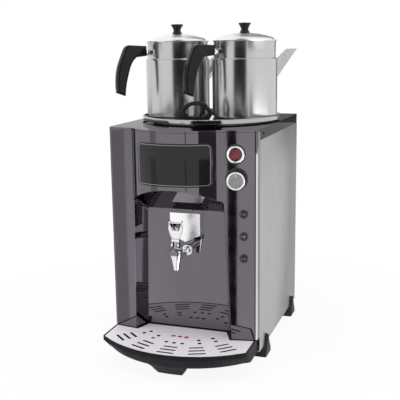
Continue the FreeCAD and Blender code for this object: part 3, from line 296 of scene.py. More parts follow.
def finished_copy(node, name, body, edge, segments=2, limit=28.0, flat_faces=False):
    """A copy of a solid with its facets joined, its sharp edges rounded and its curves made smooth.

    Where flat_faces is true, the rounded edges take all of the turn and the large faces mirror flat.
    """
    pick(frame["nodes"][node])
    bpy.ops.object.duplicate()
    piece = bpy.context.active_object
    del piece["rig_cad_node"]
    piece.name = piece.data.name = name
    bpy.ops.object.mode_set(mode="EDIT")
    bpy.ops.mesh.select_all(action="SELECT")
    bpy.ops.mesh.remove_doubles(threshold=0.000004)
    bpy.ops.mesh.dissolve_limited(angle_limit=math.radians(0.3))
    bpy.ops.object.mode_set(mode="OBJECT")
    if edge:
        bpy.ops.object.modifier_add(type="BEVEL")
        rounding = piece.modifiers[-1]
        rounding.width = edge
        rounding.segments = segments
        rounding.limit_method = "ANGLE"
        rounding.angle_limit = math.radians(limit)
        rounding.miter_outer = "MITER_ARC"
        bpy.ops.object.modifier_apply(modifier=rounding.name)
    bpy.ops.object.shade_smooth_by_angle(angle=math.radians(limit))
    if flat_faces:
        bpy.ops.object.modifier_add(type="WEIGHTED_NORMAL")
        piece.modifiers[-1].keep_sharp = True
        bpy.ops.object.modifier_apply(modifier=piece.modifiers[-1].name)
    piece.data.materials.clear()
    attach(piece, body)
    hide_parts(node)
    return piece


for name in ("foot_front_left", "foot_front_right", "foot_rear_left", "foot_rear_right"):
    foot = finished_copy(name, name + "_moulding", "casing", 0.0009, 3)
    foot_plastic = fresh_material("charcoal_" + name, foot, (0.012, 0.0125, 0.0135), 0.0, 0.5)
    shader_value(foot_plastic, "Specular IOR Level", 0.18)
    tint(foot_plastic, streaks(foot_plastic, (1, 1, 1), 60), (0.009, 0.0092, 0.010), (0.015, 0.0155, 0.017))
    polish(foot_plastic, streaks(foot_plastic, (1, 1, 1), 300), 0.42, 0.6)
    relief(foot_plastic, streaks(foot_plastic, (1, 1, 1), 1600), 0.00008)
    foot.data.materials.append(foot_plastic)

foot_screw_zinc = fresh_material("foot_screw_zinc", frame["nodes"]["foot_screws"], (0.6, 0.6, 0.62), 1.0, 0.3)
tint(foot_screw_zinc, streaks(foot_screw_zinc, (1, 1, 1), 200), (0.5, 0.5, 0.5), (0.66, 0.66, 0.7))
polish(foot_screw_zinc, streaks(foot_screw_zinc, (1, 1, 1), 500), 0.22, 0.42)
cover_solid("foot_screws", foot_screw_zinc)

# The side panels: stainless sheet brushed from top to bottom, with joggled lips behind the front and
# the cover. The back panel is the same sheet with two groups of vents.
side_tone = 0.37
dull_side = (side_tone * 0.84, side_tone * 0.86, side_tone * 0.85)
bright_side = (side_tone * 1.1, side_tone * 1.11, side_tone * 1.09)
for name in ("side_panel_left", "side_panel_right", "back_panel"):
    panel = finished_copy(name, name + "_sheet", "casing", 0.0004)
    brushed = fresh_material("brushed_" + name, panel, (side_tone, side_tone, side_tone), 1.0, 0.34)
    grain = streaks(brushed, (1, 1, 0.012), 900, 4)
    tint(brushed, grain, dull_side, bright_side)
    polish(brushed, streaks(brushed, (1, 1, 0.03), 260, 5), 0.26, 0.42)
    relief(brushed, grain, 0.00003, 0.6)
    relief(brushed, streaks(brushed, (1, 1, 0.6), 5, 1), 0.0006, 0.25)
    panel.data.materials.append(brushed)

# The cable gland: a black nylon nut, dome and barrel through the back panel, for a mains lead.
gland = finished_copy("cable_gland", "cable_gland_moulding", "casing", 0.0005, 2)
gland_nylon = fresh_material("gland_nylon", gland, (0.02, 0.02, 0.021), 0.0, 0.45)
tint(gland_nylon, streaks(gland_nylon, (1, 1, 1), 140), (0.014, 0.014, 0.015), (0.028, 0.028, 0.03))
relief(gland_nylon, streaks(gland_nylon, (1, 1, 1), 2200), 0.00004)
gland.data.materials.append(gland_nylon)

# The boiler: a welded stainless tank with a round filling neck. The element is flanged to its back,
# and the cutout and the thermostat's bulb lie on its front wall, all inside the casing.
tank_steel = fresh_material("tank_steel", frame["nodes"]["boiler_tank"], (0.62, 0.61, 0.6), 1.0, 0.3)
tint(tank_steel, streaks(tank_steel, (1, 1, 1), 14, 5), (0.5, 0.49, 0.47), (0.68, 0.68, 0.67))
polish(tank_steel, streaks(tank_steel, (1, 1, 0.05), 300), 0.22, 0.4)
relief(tank_steel, streaks(tank_steel, (1, 1, 0.05), 300), 0.00004, 0.5)
cover_solid("boiler_tank", tank_steel)

element = frame["nodes"]["heating_element"]
element_steel = fresh_material("element_steel", element, (0.42, 0.38, 0.33), 1.0, 0.4)
tint(element_steel, streaks(element_steel, (1, 1, 1), 45, 5), (0.24, 0.2, 0.17), (0.5, 0.47, 0.43))
relief(element_steel, streaks(element_steel, (1, 1, 1), 500), 0.0001)
cover_solid("heating_element", element_steel)

for name in ("safety_cutout", "terminal_block"):
    white_moulding = fresh_material("white_" + name, frame["nodes"][name], (0.72, 0.7, 0.64), 0.0, 0.45)
    tint(white_moulding, streaks(white_moulding, (1, 1, 1), 80), (0.66, 0.63, 0.56), (0.76, 0.74, 0.69))
    relief(white_moulding, streaks(white_moulding, (1, 1, 1), 1500), 0.00005)
    cover_solid(name, white_moulding)

unit = frame["nodes"]["thermostat_unit"]
unit_black = fresh_material("thermostat_case", unit, (0.03, 0.03, 0.032), 0.0, 0.4)
tint(unit_black, streaks(unit_black, (1, 1, 1), 90), (0.02, 0.02, 0.022), (0.05, 0.05, 0.052))
relief(unit_black, streaks(unit_black, (1, 1, 1), 1400), 0.00005)
cover_solid("thermostat_unit", unit_black)

neck_silicone = fresh_material("neck_silicone", frame["nodes"]["lid_gasket"], (0.7, 0.68, 0.63), 0.0, 0.55)
tint(neck_silicone, streaks(neck_silicone, (1, 1, 1), 50), (0.62, 0.6, 0.55), (0.74, 0.72, 0.68))
relief(neck_silicone, streaks(neck_silicone, (1, 1, 1), 900), 0.00006)
cover_solid("lid_gasket", neck_silicone)

# The front: one smoked, mirror-polished steel sheet, folded, bowed and cut for the niche, with the
# niche's liner and the cover in the same finish. The sheet is a touch wavy, as thin polished sheet is.
# The cover's edge tint is 0.4 against 0.9 on the front and the liner, which darkens its glancing reflection:
# painted shade on the cover.
smoked_sheets = [("front_panel", 0.0007, 0.9), ("niche_liner", 0.0003, 0.9), ("top_cover", 0.0011, 0.4)]
for name, edge, edge_on in smoked_sheets:
    sheet = finished_copy(name, name + "_sheet", "casing", edge, 3, 14.0, flat_faces=True)
    smoked = fresh_material("smoked_" + name, sheet, (0.165, 0.150, 0.170), 1.0, 0.07)
    shader_value(smoked, "Specular Tint", (edge_on, edge_on, edge_on, 1))
    tint(smoked, streaks(smoked, (1, 1, 0.25), 7, 2), (0.150, 0.136, 0.155), (0.180, 0.165, 0.186))
    polish(smoked, streaks(smoked, (1, 1, 1), 35, 5), 0.02, 0.05)
    relief(smoked, streaks(smoked, (1, 1, 0.5), 9, 1), 0.0002, 0.1)
    sheet.data.materials.append(smoked)

# The last of the sheets is the cover. The faces of its front fold that look forward and up get a pale steel
# tone: a painted highlight along the cover's front edge.
painted_highlight_fold = fresh_material("fold_painted_highlight", sheet, (0.8, 0.79, 0.81), 1.0, 0.12)
polish(painted_highlight_fold, streaks(painted_highlight_fold, (1, 1, 1), 60), 0.08, 0.2)
sheet.data.materials.append(painted_highlight_fold)
for face in sheet.data.polygons:
    if face.normal.y < -0.2 and 0.2 < face.normal.z < 0.97:
        face.material_index = 1

# The cover's screws: black pan heads with a cross recess, two through each flange into the sides.
part_origin_y = 0.0585
screw_rows_y = (part_origin_y - 0.142, part_origin_y + 0.145)
screw_z = 0.4775
screw_head_x, screw_face_x = 0.16065, 0.16135
recess_width, recess_length, recess_depth = 0.0006, 0.0030, 0.0012


def rounded_edges(piece, width, segments=3, angle=28.0, smooth=None):
    """Rounds a piece's sharp edges and smooths what curves."""
    pick(piece)
    bpy.ops.object.modifier_add(type="BEVEL")
    rounding = piece.modifiers[-1]
    rounding.width = width
    rounding.segments = segments
    rounding.limit_method = "ANGLE"
    rounding.angle_limit = math.radians(angle)
    bpy.ops.object.modifier_apply(modifier=rounding.name)
    bpy.ops.object.shade_smooth_by_angle(angle=math.radians(smooth or angle))


def joined(name, pieces):
    """Several pieces made one, under a name."""
    pick(*pieces)
    bpy.ops.object.join()
    whole = bpy.context.active_object
    whole.name = whole.data.name = name
    bpy.ops.object.transform_apply(location=True, rotation=True, scale=True)
    return whole


def cross_head(side, at_y):
    """A pan head that faces out of one side of the casing, with a cross cut in it."""
    bpy.ops.object.select_all(action="DESELECT")
    bpy.ops.mesh.primitive_cylinder_add(
        vertices=32, radius=0.0026, depth=0.0013,
        location=(side * screw_head_x, at_y, screw_z), rotation=(0, math.radians(90) * side, 0))
    head = bpy.context.active_object
    bpy.ops.object.transform_apply(location=True, rotation=True, scale=True)
    for wide, tall in ((recess_length, recess_width), (recess_width, recess_length)):
        bpy.ops.object.select_all(action="DESELECT")
        bpy.ops.mesh.primitive_cube_add(
            size=1, location=(side * screw_face_x, at_y, screw_z), scale=(recess_depth, wide, tall))
        bit = bpy.context.active_object
        pick(head)
        bpy.ops.object.modifier_add(type="BOOLEAN")
        head.modifiers[-1].object = bit
        head.modifiers[-1].operation = "DIFFERENCE"
        bpy.ops.object.modifier_apply(modifier=head.modifiers[-1].name)
        bpy.data.objects.remove(bit)
    return head


heads = [cross_head(side, at_y) for side in (-1, 1) for at_y in screw_rows_y]
cover_screws = joined("cover_screw_heads", heads)
rounded_edges(cover_screws, 0.0004, 3, 50.0, smooth=35.0)
black_oxide = fresh_material("black_oxide", cover_screws, (0.03, 0.03, 0.03), 0.6, 0.35)
tint(black_oxide, streaks(black_oxide, (1, 1, 1), 400), (0.02, 0.02, 0.02), (0.045, 0.045, 0.045))
cover_screws.data.materials.append(black_oxide)
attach(cover_screws, "casing")
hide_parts("top_cover_screws")

# The name plate: a thin gloss black plate, bent to the bow and bonded on it. A fine pale line painted all
# round near its edge is a painted highlight of the plate's edge.
plate_half_width, plate_half_height, plate_corner = 0.078, 0.043, 0.010
plate = finished_copy("name_plaque", "name_plate", "casing", 0.0004, 3, 20.0)
plate_gloss = fresh_material("plate_gloss", plate, (0.012, 0.012, 0.013), 0.0, 0.05)
shader_value(plate_gloss, "Specular IOR Level", 0.34)
polish(plate_gloss, streaks(plate_gloss, (1, 1, 1), 30, 4), 0.04, 0.09)


def border_line(material, half_width, half_height, corner, inset, line):
    """A pattern that is 1 on a thin line that runs round a rounded plate, and 0 elsewhere."""
    tree = material.node_tree
    feed = tree.nodes["centred"].outputs["Vector"]
    straight = (half_width - corner, 0, half_height - corner)
    to_corner = [
        ("ABSOLUTE", None), ("MULTIPLY", (1, 0, 1)),
        ("SUBTRACT", straight), ("MAXIMUM", (0, 0, 0)),
    ]
    for step, amount in to_corner:
        work = tree.nodes.new("ShaderNodeVectorMath")
        work.operation = step
        tree.links.new(feed, work.inputs[0])
        if amount:
            work.inputs[1].default_value = amount
        feed = work.outputs["Vector"]
    reach = tree.nodes.new("ShaderNodeVectorMath")
    reach.operation = "LENGTH"
    tree.links.new(feed, reach.inputs[0])
    feed = reach.outputs["Value"]
    for step, amount in (("SUBTRACT", corner - inset), ("ABSOLUTE", None), ("LESS_THAN", line / 2)):
        work = tree.nodes.new("ShaderNodeMath")
        work.operation = step
        tree.links.new(feed, work.inputs[0])
        if amount is not None:
            work.inputs[1].default_value = amount
        feed = work.outputs["Value"]
    return feed


# The pale line near the plate's edge is a painted highlight of that edge.
painted_edge_highlight = border_line(
    plate_gloss, plate_half_width, plate_half_height, plate_corner, inset=0.0032, line=0.0009)
tint(plate_gloss, painted_edge_highlight, (0.012, 0.012, 0.013), (0.34, 0.34, 0.36), 0.4, 0.6)
plate.data.materials.append(plate_gloss)

# The thermostat's dial and knob: a black disc on the panel, a black skirt with fine ticks moulded
# round it, a plated rim, and a grey cap with a white pointer. The knob turns on a steel spindle.
flat_width_mm, flat_setback_mm = 80, 15.5
flat_inner_x, flat_inner_y = 0.08, -0.1465
panel_run = Vector((flat_width_mm, flat_setback_mm, 0)).normalized()
panel_out = panel_run.cross(Vector((0, 0, 1)))
dial_x, dial_z = 0.119, 0.392
on_axis = 0.00001
spindle_hole = 0.0028
tick_count = 40
tick_circle, tick_middle_z = 0.0177, 0.0146
tick_size = (0.0006, 0.0007, 0.0115)


def set_on_panel(piece, x, z):
    """Sets a piece that was made at the origin, facing up, on the slanted flat beside the bow."""
    spot = Vector((x, flat_inner_y + (x - flat_inner_x) * (flat_setback_mm / flat_width_mm), z))
    turn = Matrix((panel_run, Vector((0, 0, 1)), panel_out)).transposed().to_4x4()
    piece.matrix_world = Matrix.Translation(spot) @ turn
    pick(piece)
    bpy.ops.object.transform_apply(location=True, rotation=True, scale=True)


def turned_piece(name, rings, sides=96):
    """A turned piece: a circle drawn up ring by ring, each given as a radius and a height.

    A ring on the axis keeps the hair of radius named on_axis until its points are merged.
    """
    bpy.ops.object.select_all(action="DESELECT")
    radius, height = rings[0]
    bpy.ops.mesh.primitive_circle_add(vertices=sides, radius=radius, location=(0, 0, height))
    piece = bpy.context.active_object
    piece.name = piece.data.name = name
    bpy.ops.object.transform_apply(location=True, rotation=True, scale=True)
    bpy.ops.object.mode_set(mode="EDIT")
    bpy.ops.mesh.select_all(action="SELECT")
    for next_radius, next_height in rings[1:]:
        bpy.ops.mesh.extrude_region_move(TRANSFORM_OT_translate={"value": (0, 0, next_height - height)})
        share = next_radius / radius
        bpy.ops.transform.resize(value=(share, share, 1), center_override=(0, 0, next_height))
        radius, height = next_radius, next_height
    bpy.ops.mesh.select_all(action="SELECT")
    bpy.ops.mesh.remove_doubles(threshold=0.00003)
    bpy.ops.mesh.normals_make_consistent(inside=False)
    bpy.ops.object.mode_set(mode="OBJECT")
    return piece


dial = finished_copy("dial_plate", "dial_disc", "casing", 0.0003, 2)
dial_black = fresh_material("dial_black", dial, (0.03, 0.03, 0.031), 0.0, 0.3)
tint(dial_black, streaks(dial_black, (1, 1, 1), 90), (0.022, 0.022, 0.023), (0.036, 0.036, 0.038))
polish(dial_black, streaks(dial_black, (1, 1, 1), 260), 0.24, 0.36)
dial.data.materials.append(dial_black)

skirt = turned_piece("knob_skirt", [
    (spindle_hole, 0.0016), (0.0192, 0.0016), (0.0190, 0.0050), (0.0178, 0.0075),
    (0.0174, 0.0224), (0.0160, 0.0226), (spindle_hole, 0.0226), (spindle_hole, 0.0016),
])
rounded_edges(skirt, 0.0004)
ticks = []
for step in range(tick_count):
    bpy.ops.object.select_all(action="DESELECT")
    bpy.ops.mesh.primitive_cube_add(size=1, scale=tick_size)
    tick = bpy.context.active_object
    bpy.ops.object.transform_apply(location=True, rotation=True, scale=True)
    bpy.ops.object.mode_set(mode="EDIT")
    bpy.ops.mesh.select_all(action="SELECT")
    bpy.ops.mesh.bevel(offset=0.0002, segments=2, affect="EDGES")
    bpy.ops.object.mode_set(mode="OBJECT")
    around = math.radians(360 / tick_count * step)
    tick.location = (tick_circle * math.sin(around), tick_circle * math.cos(around), tick_middle_z)
    tick.rotation_euler = (0, 0, -around)
    ticks.append(tick)
skirt = joined("knob_skirt", [skirt] + ticks)
set_on_panel(skirt, dial_x, dial_z)
skirt_black = fresh_material("skirt_black", skirt, (0.02, 0.02, 0.021), 0.0, 0.28)
tint(skirt_black, streaks(skirt_black, (1, 1, 1), 120), (0.014, 0.014, 0.015), (0.028, 0.028, 0.03))
skirt.data.materials.append(skirt_black)

knob_rim = turned_piece("knob_rim", [
    (0.0146, 0.0224), (0.0175, 0.0223), (0.0180, 0.0229), (0.0179, 0.0236),
    (0.0171, 0.0240), (0.0156, 0.0240), (0.0148, 0.0236), (0.0146, 0.0224),
])
rounded_edges(knob_rim, 0.0002, 2, 40.0)
set_on_panel(knob_rim, dial_x, dial_z)
rim_plating = fresh_material("rim_plating", knob_rim, (0.88, 0.88, 0.9), 1.0, 0.08)
polish(rim_plating, streaks(rim_plating, (1, 1, 1), 400), 0.05, 0.13)
knob_rim.data.materials.append(rim_plating)

knob_cap = turned_piece("knob_cap", [
    (on_axis, 0.0220), (0.0149, 0.0220), (0.0149, 0.0232),
    (0.0141, 0.0235), (0.0080, 0.0236), (on_axis, 0.0236),
])
rounded_edges(knob_cap, 0.0002, 2, 20.0)
set_on_panel(knob_cap, dial_x, dial_z)
cap_grey = fresh_material("cap_grey", knob_cap, (0.28, 0.28, 0.285), 0.3, 0.38)
tint(cap_grey, streaks(cap_grey, (1, 1, 1), 160), (0.24, 0.24, 0.245), (0.32, 0.32, 0.325))
relief(cap_grey, streaks(cap_grey, (1, 1, 1), 1500), 0.00003)
knob_cap.data.materials.append(cap_grey)

bpy.ops.object.select_all(action="DESELECT")
bpy.ops.mesh.primitive_cube_add(size=1, location=(0, 0.0102, 0.0237), scale=(0.0012, 0.0058, 0.0006))
pointer = bpy.context.active_object
pointer.name = pointer.data.name = "knob_pointer"
bpy.ops.object.transform_apply(location=True, rotation=True, scale=True)
rounded_edges(pointer, 0.0002, 3)
set_on_panel(pointer, dial_x, dial_z)
pointer_white = fresh_material("pointer_white", pointer, (0.85, 0.85, 0.84), 0.0, 0.4)
tint(pointer_white, streaks(pointer_white, (1, 1, 1), 600), (0.8, 0.8, 0.78), (0.9, 0.9, 0.9))
pointer.data.materials.append(pointer_white)

spindle = turned_piece("knob_spindle", [
    (on_axis, -0.0169), (0.0025, -0.0169), (0.0030, -0.0164), (0.0030, 0.0200), (on_axis, 0.0200),
], sides=48)
rounded_edges(spindle, 0.0001, 2)
set_on_panel(spindle, dial_x, dial_z)
spindle_steel = fresh_material("spindle_steel", spindle, (0.6, 0.6, 0.61), 1.0, 0.3)
polish(spindle_steel, streaks(spindle_steel, (1, 1, 1), 500), 0.22, 0.4)
spindle.data.materials.append(spindle_steel)
for piece in (skirt, knob_rim, knob_cap, pointer, spindle):
    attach(piece, "knob")
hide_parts("thermostat_knob")

# The mains switch: a black nylon bezel clipped in the panel, a plated ring on it, and a translucent
# red rocker dished for a fingertip, which tilts on two moulded trunnions.
switch_bezel = finished_copy("switch_body", "switch_bezel", "casing", 0.0004, 3)
bezel_nylon = fresh_material("bezel_nylon", switch_bezel, (0.012, 0.012, 0.013), 0.0, 0.2)
tint(bezel_nylon, streaks(bezel_nylon, (1, 1, 1), 90), (0.009, 0.009, 0.010), (0.018, 0.018, 0.019))
polish(bezel_nylon, streaks(bezel_nylon, (1, 1, 1), 240), 0.16, 0.28)
switch_bezel.data.materials.append(bezel_nylon)

switch_trim = finished_copy("switch_ring", "switch_trim", "casing", 0.0002, 2)
trim_plating = fresh_material("trim_plating", switch_trim, (0.9, 0.9, 0.92), 1.0, 0.06)
polish(trim_plating, streaks(trim_plating, (1, 1, 1), 300), 0.04, 0.1)
switch_trim.data.materials.append(trim_plating)

rocker = finished_copy("switch_rocker", "rocker_lens", "rocker", 0.0003, 3, 20.0)
rocker_red = fresh_material("rocker_red", rocker, (0.18, 0.008, 0.012), 0.0, 0.16)
tint(rocker_red, streaks(rocker_red, (1, 1, 1), 90), (0.03, 0.003, 0.005), (0.30, 0.013, 0.018))
shader_value(rocker_red, "Coat Weight", 0.2)
shader_value(rocker_red, "Coat Roughness", 0.05)
relief(rocker_red, streaks(rocker_red, (1, 1, 1), 700), 0.00012)
rocker.data.materials.append(rocker_red)

# The lamps: three small domed lenses, green, amber and red, pressed in dark turned bezels whose
# barrels go through the panel.
bezels = finished_copy("lamp_bezels", "lamp_cups", "casing", 0.0003, 3)
cup_black = fresh_material("cup_black", bezels, (0.03, 0.03, 0.032), 0.4, 0.2)
tint(cup_black, streaks(cup_black, (1, 1, 1), 150), (0.022, 0.022, 0.024), (0.045, 0.045, 0.048))
polish(cup_black, streaks(cup_black, (1, 1, 1), 400), 0.14, 0.28)
bezels.data.materials.append(cup_black)
lenses = [
    ("lamp_green", "lens_green", (0.004, 0.035, 0.026), (0.10, 0.42, 0.34)),
    ("lamp_amber", "lens_amber", (0.06, 0.058, 0.025), (0.62, 0.60, 0.26)),
    ("lamp_red", "lens_red", (0.06, 0.006, 0.012), (0.55, 0.06, 0.12)),
]
for name, slot, dark, light in lenses:
    lens = finished_copy(name, name + "_lens", "casing", 0.0002, 2)
    lens_glass = fresh_material(name + "_glass", lens, light, 0.0, 0.08)
    tree = lens_glass.node_tree
    # Each lens takes its light tone within 2.2 mm of its middle, fading to its dark tone by 3.6 mm: a painted
    # glint on the dome.
    painted_glint_reach = tree.nodes.new("ShaderNodeVectorMath")
    painted_glint_reach.operation = "LENGTH"
    tree.links.new(tree.nodes["centred"].outputs["Vector"], painted_glint_reach.inputs[0])
    tint(lens_glass, painted_glint_reach.outputs["Value"], light, dark, 0.0022, 0.0036)
    shader_value(lens_glass, "Coat Weight", 0.4)
    relief(lens_glass, streaks(lens_glass, (1, 1, 1), 900, 1), 0.0001)
    lens.data.materials.append(lens_glass)

# The tap: chromed brass. A folded guard plate and a rosette stand on the niche wall, and the shank
# runs through it into the tank, held by a brass nut behind the wall and another in the tank.


def chrome_finish(name, piece, tone, smooth=0.03, rough=0.09):
    """Bright plating with the slight orange skin that polished castings keep."""
    plating = fresh_material(name, piece, (tone, tone, tone * 1.01), 1.0, smooth)
    polish(plating, streaks(plating, (1, 1, 1), 260, 4), smooth, rough)
    relief(plating, streaks(plating, (1, 1, 1), 120, 2), 0.00008, 0.25)
    piece.data.materials.append(plating)


guard = finished_copy("tap_guard", "tap_guard_plate", "casing", 0.0005, 3, flat_faces=True)
chrome_finish("guard_plating", guard, 0.97, 0.2, 0.3)
# The bonnet's plating has the dark tone 0.25: a painted dark reflection on the bonnet.
castings = [("tap_rosette", 0.8, 0.0003), ("tap_body", 0.86, 0.0005), ("tap_bonnet", 0.25, 0.00015)]
for node, tone, edge in castings:
    casting = finished_copy(node, node + "_casting", "casing", edge, 2)
    chrome_finish(node + "_plating", casting, tone)

nuts = finished_copy("tap_nuts", "tap_nuts_turned", "casing", 0.0004, 2)
nut_brass = fresh_material("nut_brass", nuts, (0.62, 0.46, 0.2), 1.0, 0.3)
tint(nut_brass, streaks(nut_brass, (1, 1, 1), 110, 4), (0.52, 0.38, 0.16), (0.68, 0.53, 0.27))
polish(nut_brass, streaks(nut_brass, (1, 14, 1), 160), 0.22, 0.42)
nuts.data.materials.append(nut_brass)

for name in ("tap_gasket", "tap_seat_cup"):
    tap_silicone = fresh_material("silicone_" + name, frame["nodes"][name], (0.68, 0.66, 0.6), 0.0, 0.5)
    tint(tap_silicone, streaks(tap_silicone, (1, 1, 1), 160), (0.6, 0.57, 0.5), (0.72, 0.7, 0.66))
    relief(tap_silicone, streaks(tap_silicone, (1, 1, 1), 1200), 0.00005)
    cover_solid(name, tap_silicone)

# The tap's moving parts: a stem that lifts the cup off its seat, pushed down by a wire spring, and a
# tulip-shaped lever that tilts on a pin and stands up from the bonnet.
stem = finished_copy("tap_stem", "tap_stem_turned", "stem", 0.0003, 2)
chrome_finish("stem_plating", stem, 0.4)

spring_turns, spring_wire = 7, 0.00045
spring_low, spring_high, spring_radius = 0.2303, 0.2457, 0.00508
spring_y = part_origin_y - 0.227
bpy.ops.object.select_all(action="DESELECT")
bpy.ops.mesh.primitive_circle_add(
    vertices=10, radius=spring_wire,
    location=(spring_radius, spring_y, spring_low + spring_wire), rotation=(math.radians(90), 0, 0))
spring = bpy.context.active_object
spring.name = spring.data.name = "tap_spring_wire"
bpy.ops.object.transform_apply(location=True, rotation=True, scale=True)
bpy.ops.object.modifier_add(type="SCREW")
winding = spring.modifiers[-1]
winding.angle = math.radians(360)
winding.iterations = spring_turns
winding.screw_offset = (spring_high - spring_low - 2 * spring_wire) / spring_turns
winding.steps = winding.render_steps = 24
bpy.context.scene.cursor.location = (0, spring_y, 0)
bpy.ops.object.origin_set(type="ORIGIN_CURSOR")
bpy.ops.object.modifier_apply(modifier=winding.name)
bpy.ops.object.transform_apply(location=True, rotation=True, scale=True)
bpy.ops.object.mode_set(mode="EDIT")
bpy.ops.mesh.select_all(action="SELECT")
bpy.ops.mesh.remove_doubles(threshold=0.00001)
bpy.ops.mesh.select_all(action="DESELECT")
bpy.ops.mesh.select_non_manifold()
bpy.ops.mesh.edge_face_add()
bpy.ops.mesh.select_all(action="SELECT")
bpy.ops.mesh.normals_make_consistent(inside=False)
bpy.ops.object.mode_set(mode="OBJECT")
bpy.ops.object.shade_smooth_by_angle(angle=math.radians(50))
wire_steel = fresh_material("wire_steel", spring, (0.6, 0.6, 0.6), 1.0, 0.25)
polish(wire_steel, streaks(wire_steel, (1, 1, 1), 900), 0.18, 0.35)
spring.data.materials.append(wire_steel)
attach(spring, "casing")
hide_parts("tap_spring")
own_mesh(spring)

# The two broad faces of the lever's paddle are let in a little, inside a raised border.
lever = finished_copy("tap_lever", "tap_lever_paddle", "lever", 0)
bpy.ops.object.mode_set(mode="EDIT")
bpy.ops.mesh.select_mode(type="FACE")
bpy.ops.mesh.select_all(action="DESELECT")
bpy.ops.object.mode_set(mode="OBJECT")
paddle_low_z = 0.275
broad_area = 0.0003
for face in lever.data.polygons:
    face.select = abs(face.normal.y) > 0.99 and face.center.z > paddle_low_z and face.area > broad_area
bpy.ops.object.mode_set(mode="EDIT")
bpy.ops.mesh.inset(thickness=0.0014, depth=0)
bpy.ops.mesh.inset(thickness=0.0005, depth=-0.0006)
bpy.ops.object.mode_set(mode="OBJECT")
rounded_edges(lever, 0.0005, 3, 40.0)
chrome_finish("lever_plating", lever, 0.86)

# The lever's narrow sides get a darker plating than its broad faces: a painted dark reflection on the flanks.
painted_dark_flank = fresh_material("painted_dark_flank", lever, (0.2, 0.2, 0.2), 1.0, 0.12)
polish(painted_dark_flank, streaks(painted_dark_flank, (1, 1, 1), 260, 4), 0.08, 0.18)
lever.data.materials.append(painted_dark_flank)
for face in lever.data.polygons:
    if abs(face.normal.y) < 0.85:
        face.material_index = 1
pin = finished_copy("tap_lever_pin", "tap_lever_rivet", "lever", 0.0003, 3)
chrome_finish("pin_plating", pin, 0.7)

# The drip tray: a charcoal moulding with a rim band, a raked underside and a lug that stands on the
# table in front. Its face is the fine pebble of the mould, with a gloss that varies a little.
tray = finished_copy("drip_tray", "drip_tray_moulding", "tray", 0.0008, 3)
tray_plastic = fresh_material("tray_plastic", tray, (0.020, 0.0195, 0.022), 0.0, 0.4)
shader_value(tray_plastic, "Specular IOR Level", 0.03)
tint(tray_plastic, streaks(tray_plastic, (1, 1, 1), 40), (0.017, 0.0165, 0.019), (0.023, 0.0225, 0.0255))
polish(tray_plastic, streaks(tray_plastic, (1, 1, 1), 260), 0.34, 0.5)
relief(tray_plastic, streaks(tray_plastic, (1, 1, 1), 1500), 0.00007)
tray.data.materials.append(tray_plastic)

# The grille: a loose stainless plate that drops on the tray's ledge, pierced with a fan of slots,
# drain holes and three windows, through which the pegs of a red float show.
grille = finished_copy("drip_grille", "drip_grille_plate", "grille", 0.0006, flat_faces=True)
grille_steel = fresh_material("grille_steel", grille, (0.86, 0.82, 0.87), 0.1, 0.5)
grille_grain = streaks(grille_steel, (0.02, 1, 1), 1100, 4)
tint(grille_steel, grille_grain, (0.78, 0.74, 0.79), (0.92, 0.88, 0.93))
polish(grille_steel, streaks(grille_steel, (0.05, 1, 1), 300, 4), 0.42, 0.58)
relief(grille_steel, grille_grain, 0.00002, 0.5)
grille.data.materials.append(grille_steel)

# The walls of the slots and holes, and the plate's edge, are given a dull dark tone: painted shade in the
# cuts and on the edge.
painted_shade_walls = fresh_material("grille_cut_edge", grille, (0.05, 0.05, 0.052), 0.6, 0.5)
tint(painted_shade_walls, streaks(painted_shade_walls, (1, 1, 1), 700), (0.02, 0.02, 0.021), (0.05, 0.05, 0.052))
grille.data.materials.append(painted_shade_walls)
for face in grille.data.polygons:
    if abs(face.normal.z) < 0.97:
        face.material_index = 1

tray_marker = finished_copy("tray_float", "tray_float_moulding", "float", 0.0007, 3)
marker_red = fresh_material("marker_red", tray_marker, (0.72, 0.03, 0.03), 0.0, 0.3)
tint(marker_red, streaks(marker_red, (1, 1, 1), 90), (0.62, 0.02, 0.022), (0.78, 0.045, 0.04))
relief(marker_red, streaks(marker_red, (1, 1, 1), 900), 0.00005)
tray_marker.data.materials.append(marker_red)

# The boiler lid: a stainless plate spun on a lathe, with a rolled rim round the dish that the
# teapots stand in. The tool leaves fine rings, and the plate is polished bright.


